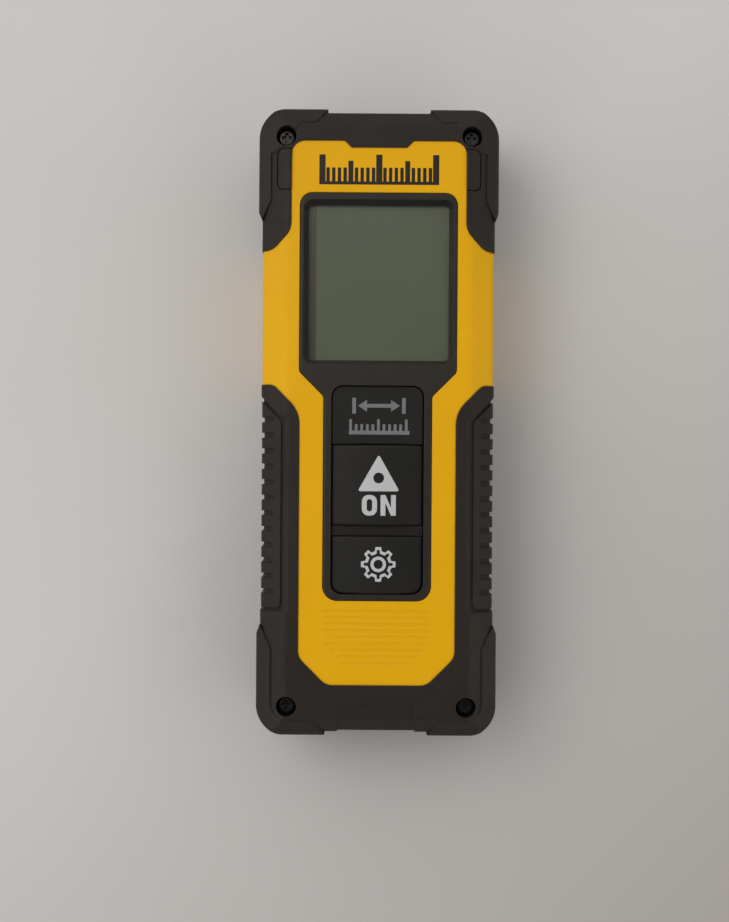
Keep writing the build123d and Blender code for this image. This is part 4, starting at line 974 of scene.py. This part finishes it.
@dataclass(frozen=True)
class SnapDome:
    """A pressed snap dome with a rolled foot."""

    name: str
    node: str
    joint: str
    profile: tuple[Point, ...] = (
        (1.0, 0.0), (1.0, 0.3), (0.9, 0.42), (0.7, 0.66), (0.42, 0.9), (0.2, 0.985), (0.0, 1.0),
    )
    sheet_share: float = 0.16
    steps: int = 40
    keep: float = 0.2

    def build(self, finishes: Finishes) -> bpy.types.Object:
        """Spins the dome in the room of the engineering part that it stands for.

        Args:
            finishes: the materials.

        Returns:
            The dome.
        """
        low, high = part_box(self.node)
        centre = (low + high) / 2
        radius = (high.x - low.x) / 2
        rise = high.z - low.z
        sheet = self.sheet_share * rise
        points = [(radius * r, low.z + rise * z) for r, z in self.profile]
        under = [(max(0.0, r - sheet), max(low.z, z - sheet)) for r, z in reversed(points)]
        shape = bmesh.new()
        verts = [shape.verts.new((centre.x + r, centre.y, z)) for r, z in points + under]
        edges = [shape.edges.new(pair) for pair in zip(verts, verts[1:])]
        spin_round(shape, verts + edges, centre.x, centre.y, self.steps)
        piece = piece_from(shape, self.name, Body.HOUSING)
        for face in piece.data.polygons:
            face.use_smooth = True
        finishes.give(piece, "spring_steel")
        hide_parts(self.node)
        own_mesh(piece)
        return piece


@dataclass(frozen=True)
class Keypad(Assembly):
    """The rubber keypad: its fixed label, the two keys with their marks and the sprung domes."""

    nodes: tuple[str, ...] = ("keypad_frame", "measure_button", "settings_button")

    def added(self, finishes: Finishes) -> list[bpy.types.Object]:
        """Prints the marks and builds the domes.

        Args:
            finishes: the materials.

        Returns:
            The marks and the domes.
        """
        parts = (
            Print("distance_mark", DistanceMark().loops(), "ink_grey", "keypad_frame", Body.HOUSING),
            Print("aim_mark", AimMark().loops(), "ink_light", "measure_button", Body.MEASURE),
            Print("start_word", StartWord().loops(), "ink_light", "measure_button", Body.MEASURE),
            Print("gear_mark", GearMark().loops(), "ink_light", "settings_button", Body.SETTINGS),
            SnapDome("measure_snap", "measure_dome", "measure_press"),
            SnapDome("settings_snap", "settings_dome", "settings_press"),
        )
        return [part.build(finishes) for part in parts]


@dataclass(frozen=True)
class Inside(Assembly):
    """Everything inside the housing: boards, cells, contacts, optics, and the screws that hold them."""

    nodes: tuple[str, ...] = (
        "main_board", "board_chips", "board_screws", "chassis_screws", "buzzer", "housing_screws",
        "battery_cells", "cell_sleeves", "bridge_contact", "positive_contact", "negative_contact",
        "contact_springs", "optics_chassis", "laser_barrel", "laser_diode", "collimator_lens",
        "receiver_lens", "receiver_sensor", "receiver_board", "receiver_flex", "laser_flex",
    )


@dataclass(frozen=True)
class Openings(Assembly):
    """What closes the meter's openings: the battery door with its foam and the laser end's plate and window."""

    nodes: tuple[str, ...] = ("battery_door", "door_foam", "optics_bezel", "optics_window")


@dataclass(frozen=True)
class Table:
    """The plain pale table top, with faintly uneven paint, and painted shade that darkens it towards the lower
    right as the light falls off.
    """

    size: float = 3.0
    colour: Colour = linear(196, 194, 191)
    falloff_shade: Colour = linear(162, 157, 153)
    painted_falloff: Point = (-0.02, 0.16)
    tone: float = 0.975
    tone_size: float = 60.0
    tone_band: Point = (0.35, 0.65)
    shine_size: float = 25.0
    roughness: Point = (0.6, 0.7)
    specular: float = 0.25

    def paint(self) -> bpy.types.Material:
        """Mixes the paint of the top.

        Returns:
            The finished material.
        """
        paint = Paint("table_paint")
        inputs = paint.surface.inputs
        tone = paint.ranged(paint.noise(self.tone_size, Detail.SOFT), self.tone_band, WHOLE)
        darker = tuple(self.tone * c for c in self.colour)
        # painted shade: the top darkens along the diagonal towards the lower right, where the light falls off
        diagonal = paint.combine("SUBTRACT", paint.axis("X"), paint.axis("Y"))
        painted_falloff = paint.ranged(diagonal, self.painted_falloff, WHOLE)
        plain = paint.blend(tone, self.colour, darker)
        paint.feed(inputs["Base Color"], paint.blend(painted_falloff, plain, self.falloff_shade))
        shine = paint.noise(self.shine_size, Detail.RICH)
        paint.feed(inputs["Roughness"], paint.ranged(shine, SHINE_BAND, self.roughness))
        inputs["Specular IOR Level"].default_value = self.specular
        return paint.material

    def build(self) -> None:
        """Builds the top and puts it on the stage."""
        shape = bmesh.new()
        bmesh.ops.create_grid(shape, x_segments=2, y_segments=2, size=self.size / 2)
        mesh = bpy.data.meshes.new("table_top")
        shape.to_mesh(mesh)
        shape.free()
        top = bpy.data.objects.new("table_top", mesh)
        bpy.context.scene.collection.objects.link(top)
        mesh.materials.append(self.paint())


@dataclass(frozen=True)
class Lamp:
    """A soft square light aimed at the meter."""

    name: str
    place: Axes
    size: float
    power: float
    colour: Colour

    def build(self) -> None:
        """Adds the light to the scene."""
        data = bpy.data.lights.new(self.name, "AREA")
        data.shape = "SQUARE"
        data.size = self.size
        data.energy = self.power
        data.color = self.colour
        lamp = bpy.data.objects.new(self.name, data)
        lamp.location = self.place
        lamp.rotation_euler = (-Vector(self.place)).to_track_quat("-Z", "Y").to_euler()
        bpy.context.scene.collection.objects.link(lamp)


@dataclass(frozen=True)
class Sky:
    """A soft room: brighter to the upper left, with a dim patch overhead that leans to the lower right."""

    colour: Colour = (0.985, 0.99, 1.0)
    level: float = 1.01
    from_left: float = 0.25
    from_top: float = 0.08
    shade_middle: Axes = (0.15, -0.36, 0.92)
    shade_level: float = 0.06
    shade_band: Point = (0.72, 0.93)

    def build(self) -> None:
        """Makes the world."""
        world = bpy.data.worlds.new("studio")
        world.use_nodes = True
        graph = Graph(world.node_tree)
        backdrop = graph.tree.nodes["Background"]
        graph.feed(backdrop.inputs["Color"], self.colour)
        direction = graph.node("ShaderNodeTexCoord").outputs["Generated"]
        split = graph.node("ShaderNodeSeparateXYZ")
        graph.join(direction, split.inputs["Vector"])
        across = graph.combine("MULTIPLY_ADD", split.outputs["X"], -self.from_left, self.level)
        both = graph.combine("MULTIPLY_ADD", split.outputs["Y"], self.from_top, across)
        towards = graph.node("ShaderNodeVectorMath", operation="DOT_PRODUCT")
        graph.join(direction, towards.inputs[0])
        towards.inputs[1].default_value = Vector(self.shade_middle).normalized()
        shade = graph.ranged(towards.outputs["Value"], self.shade_band, (1.0, self.shade_level), "SMOOTHSTEP")
        graph.join(graph.combine("MULTIPLY", both, shade), backdrop.inputs["Strength"])
        bpy.context.scene.world = world


@dataclass(frozen=True)
class Camera:
    """The camera over the meter, turned a little about its own line of sight."""

    place: Axes = (-2.28, -6.87, 292.0)
    turn: float = 0.376
    lens: float = 59.3
    clip: float = 0.01

    def build(self) -> None:
        """Places the camera and makes it the scene's."""
        data = bpy.data.cameras.new("table_camera")
        data.lens = self.lens
        data.clip_start = self.clip
        camera = bpy.data.objects.new("table_camera", data)
        camera.location = Vector(self.place) * MM
        camera.rotation_euler = (0.0, 0.0, math.radians(self.turn))
        bpy.context.scene.collection.objects.link(camera)
        bpy.context.scene.camera = camera


@dataclass(frozen=True)
class Stage:
    """The table, the studio light and the camera."""

    table: Table = Table()
    sky: Sky = Sky()
    lamps: tuple[Lamp, ...] = (
        Lamp("key_light", (-0.27, 0.15, 0.55), 0.34, 0.95, (1.0, 0.97, 0.92)),
        Lamp("fill_light", (0.48, -0.30, 0.30), 0.80, 1.2, (1.0, 0.985, 0.96)),
    )
    camera: Camera = Camera()

    def build(self) -> None:
        """Sets up the stage."""
        bpy.context.scene.view_settings.view_transform = "Standard"
        for part in (self.table, self.sky, *self.lamps, self.camera):
            part.build()


def main() -> None:
    """Builds and dresses the meter, then the stage."""
    logging.basicConfig(level=logging.INFO, format="%(name)s: %(message)s")
    finishes = Finishes()
    for assembly in (Housing(), Overmolds(), Display(), Keypad(), Inside(), Openings()):
        assembly.dress(finishes)
    Stage().build()


if __name__ == "__main__":
    main()
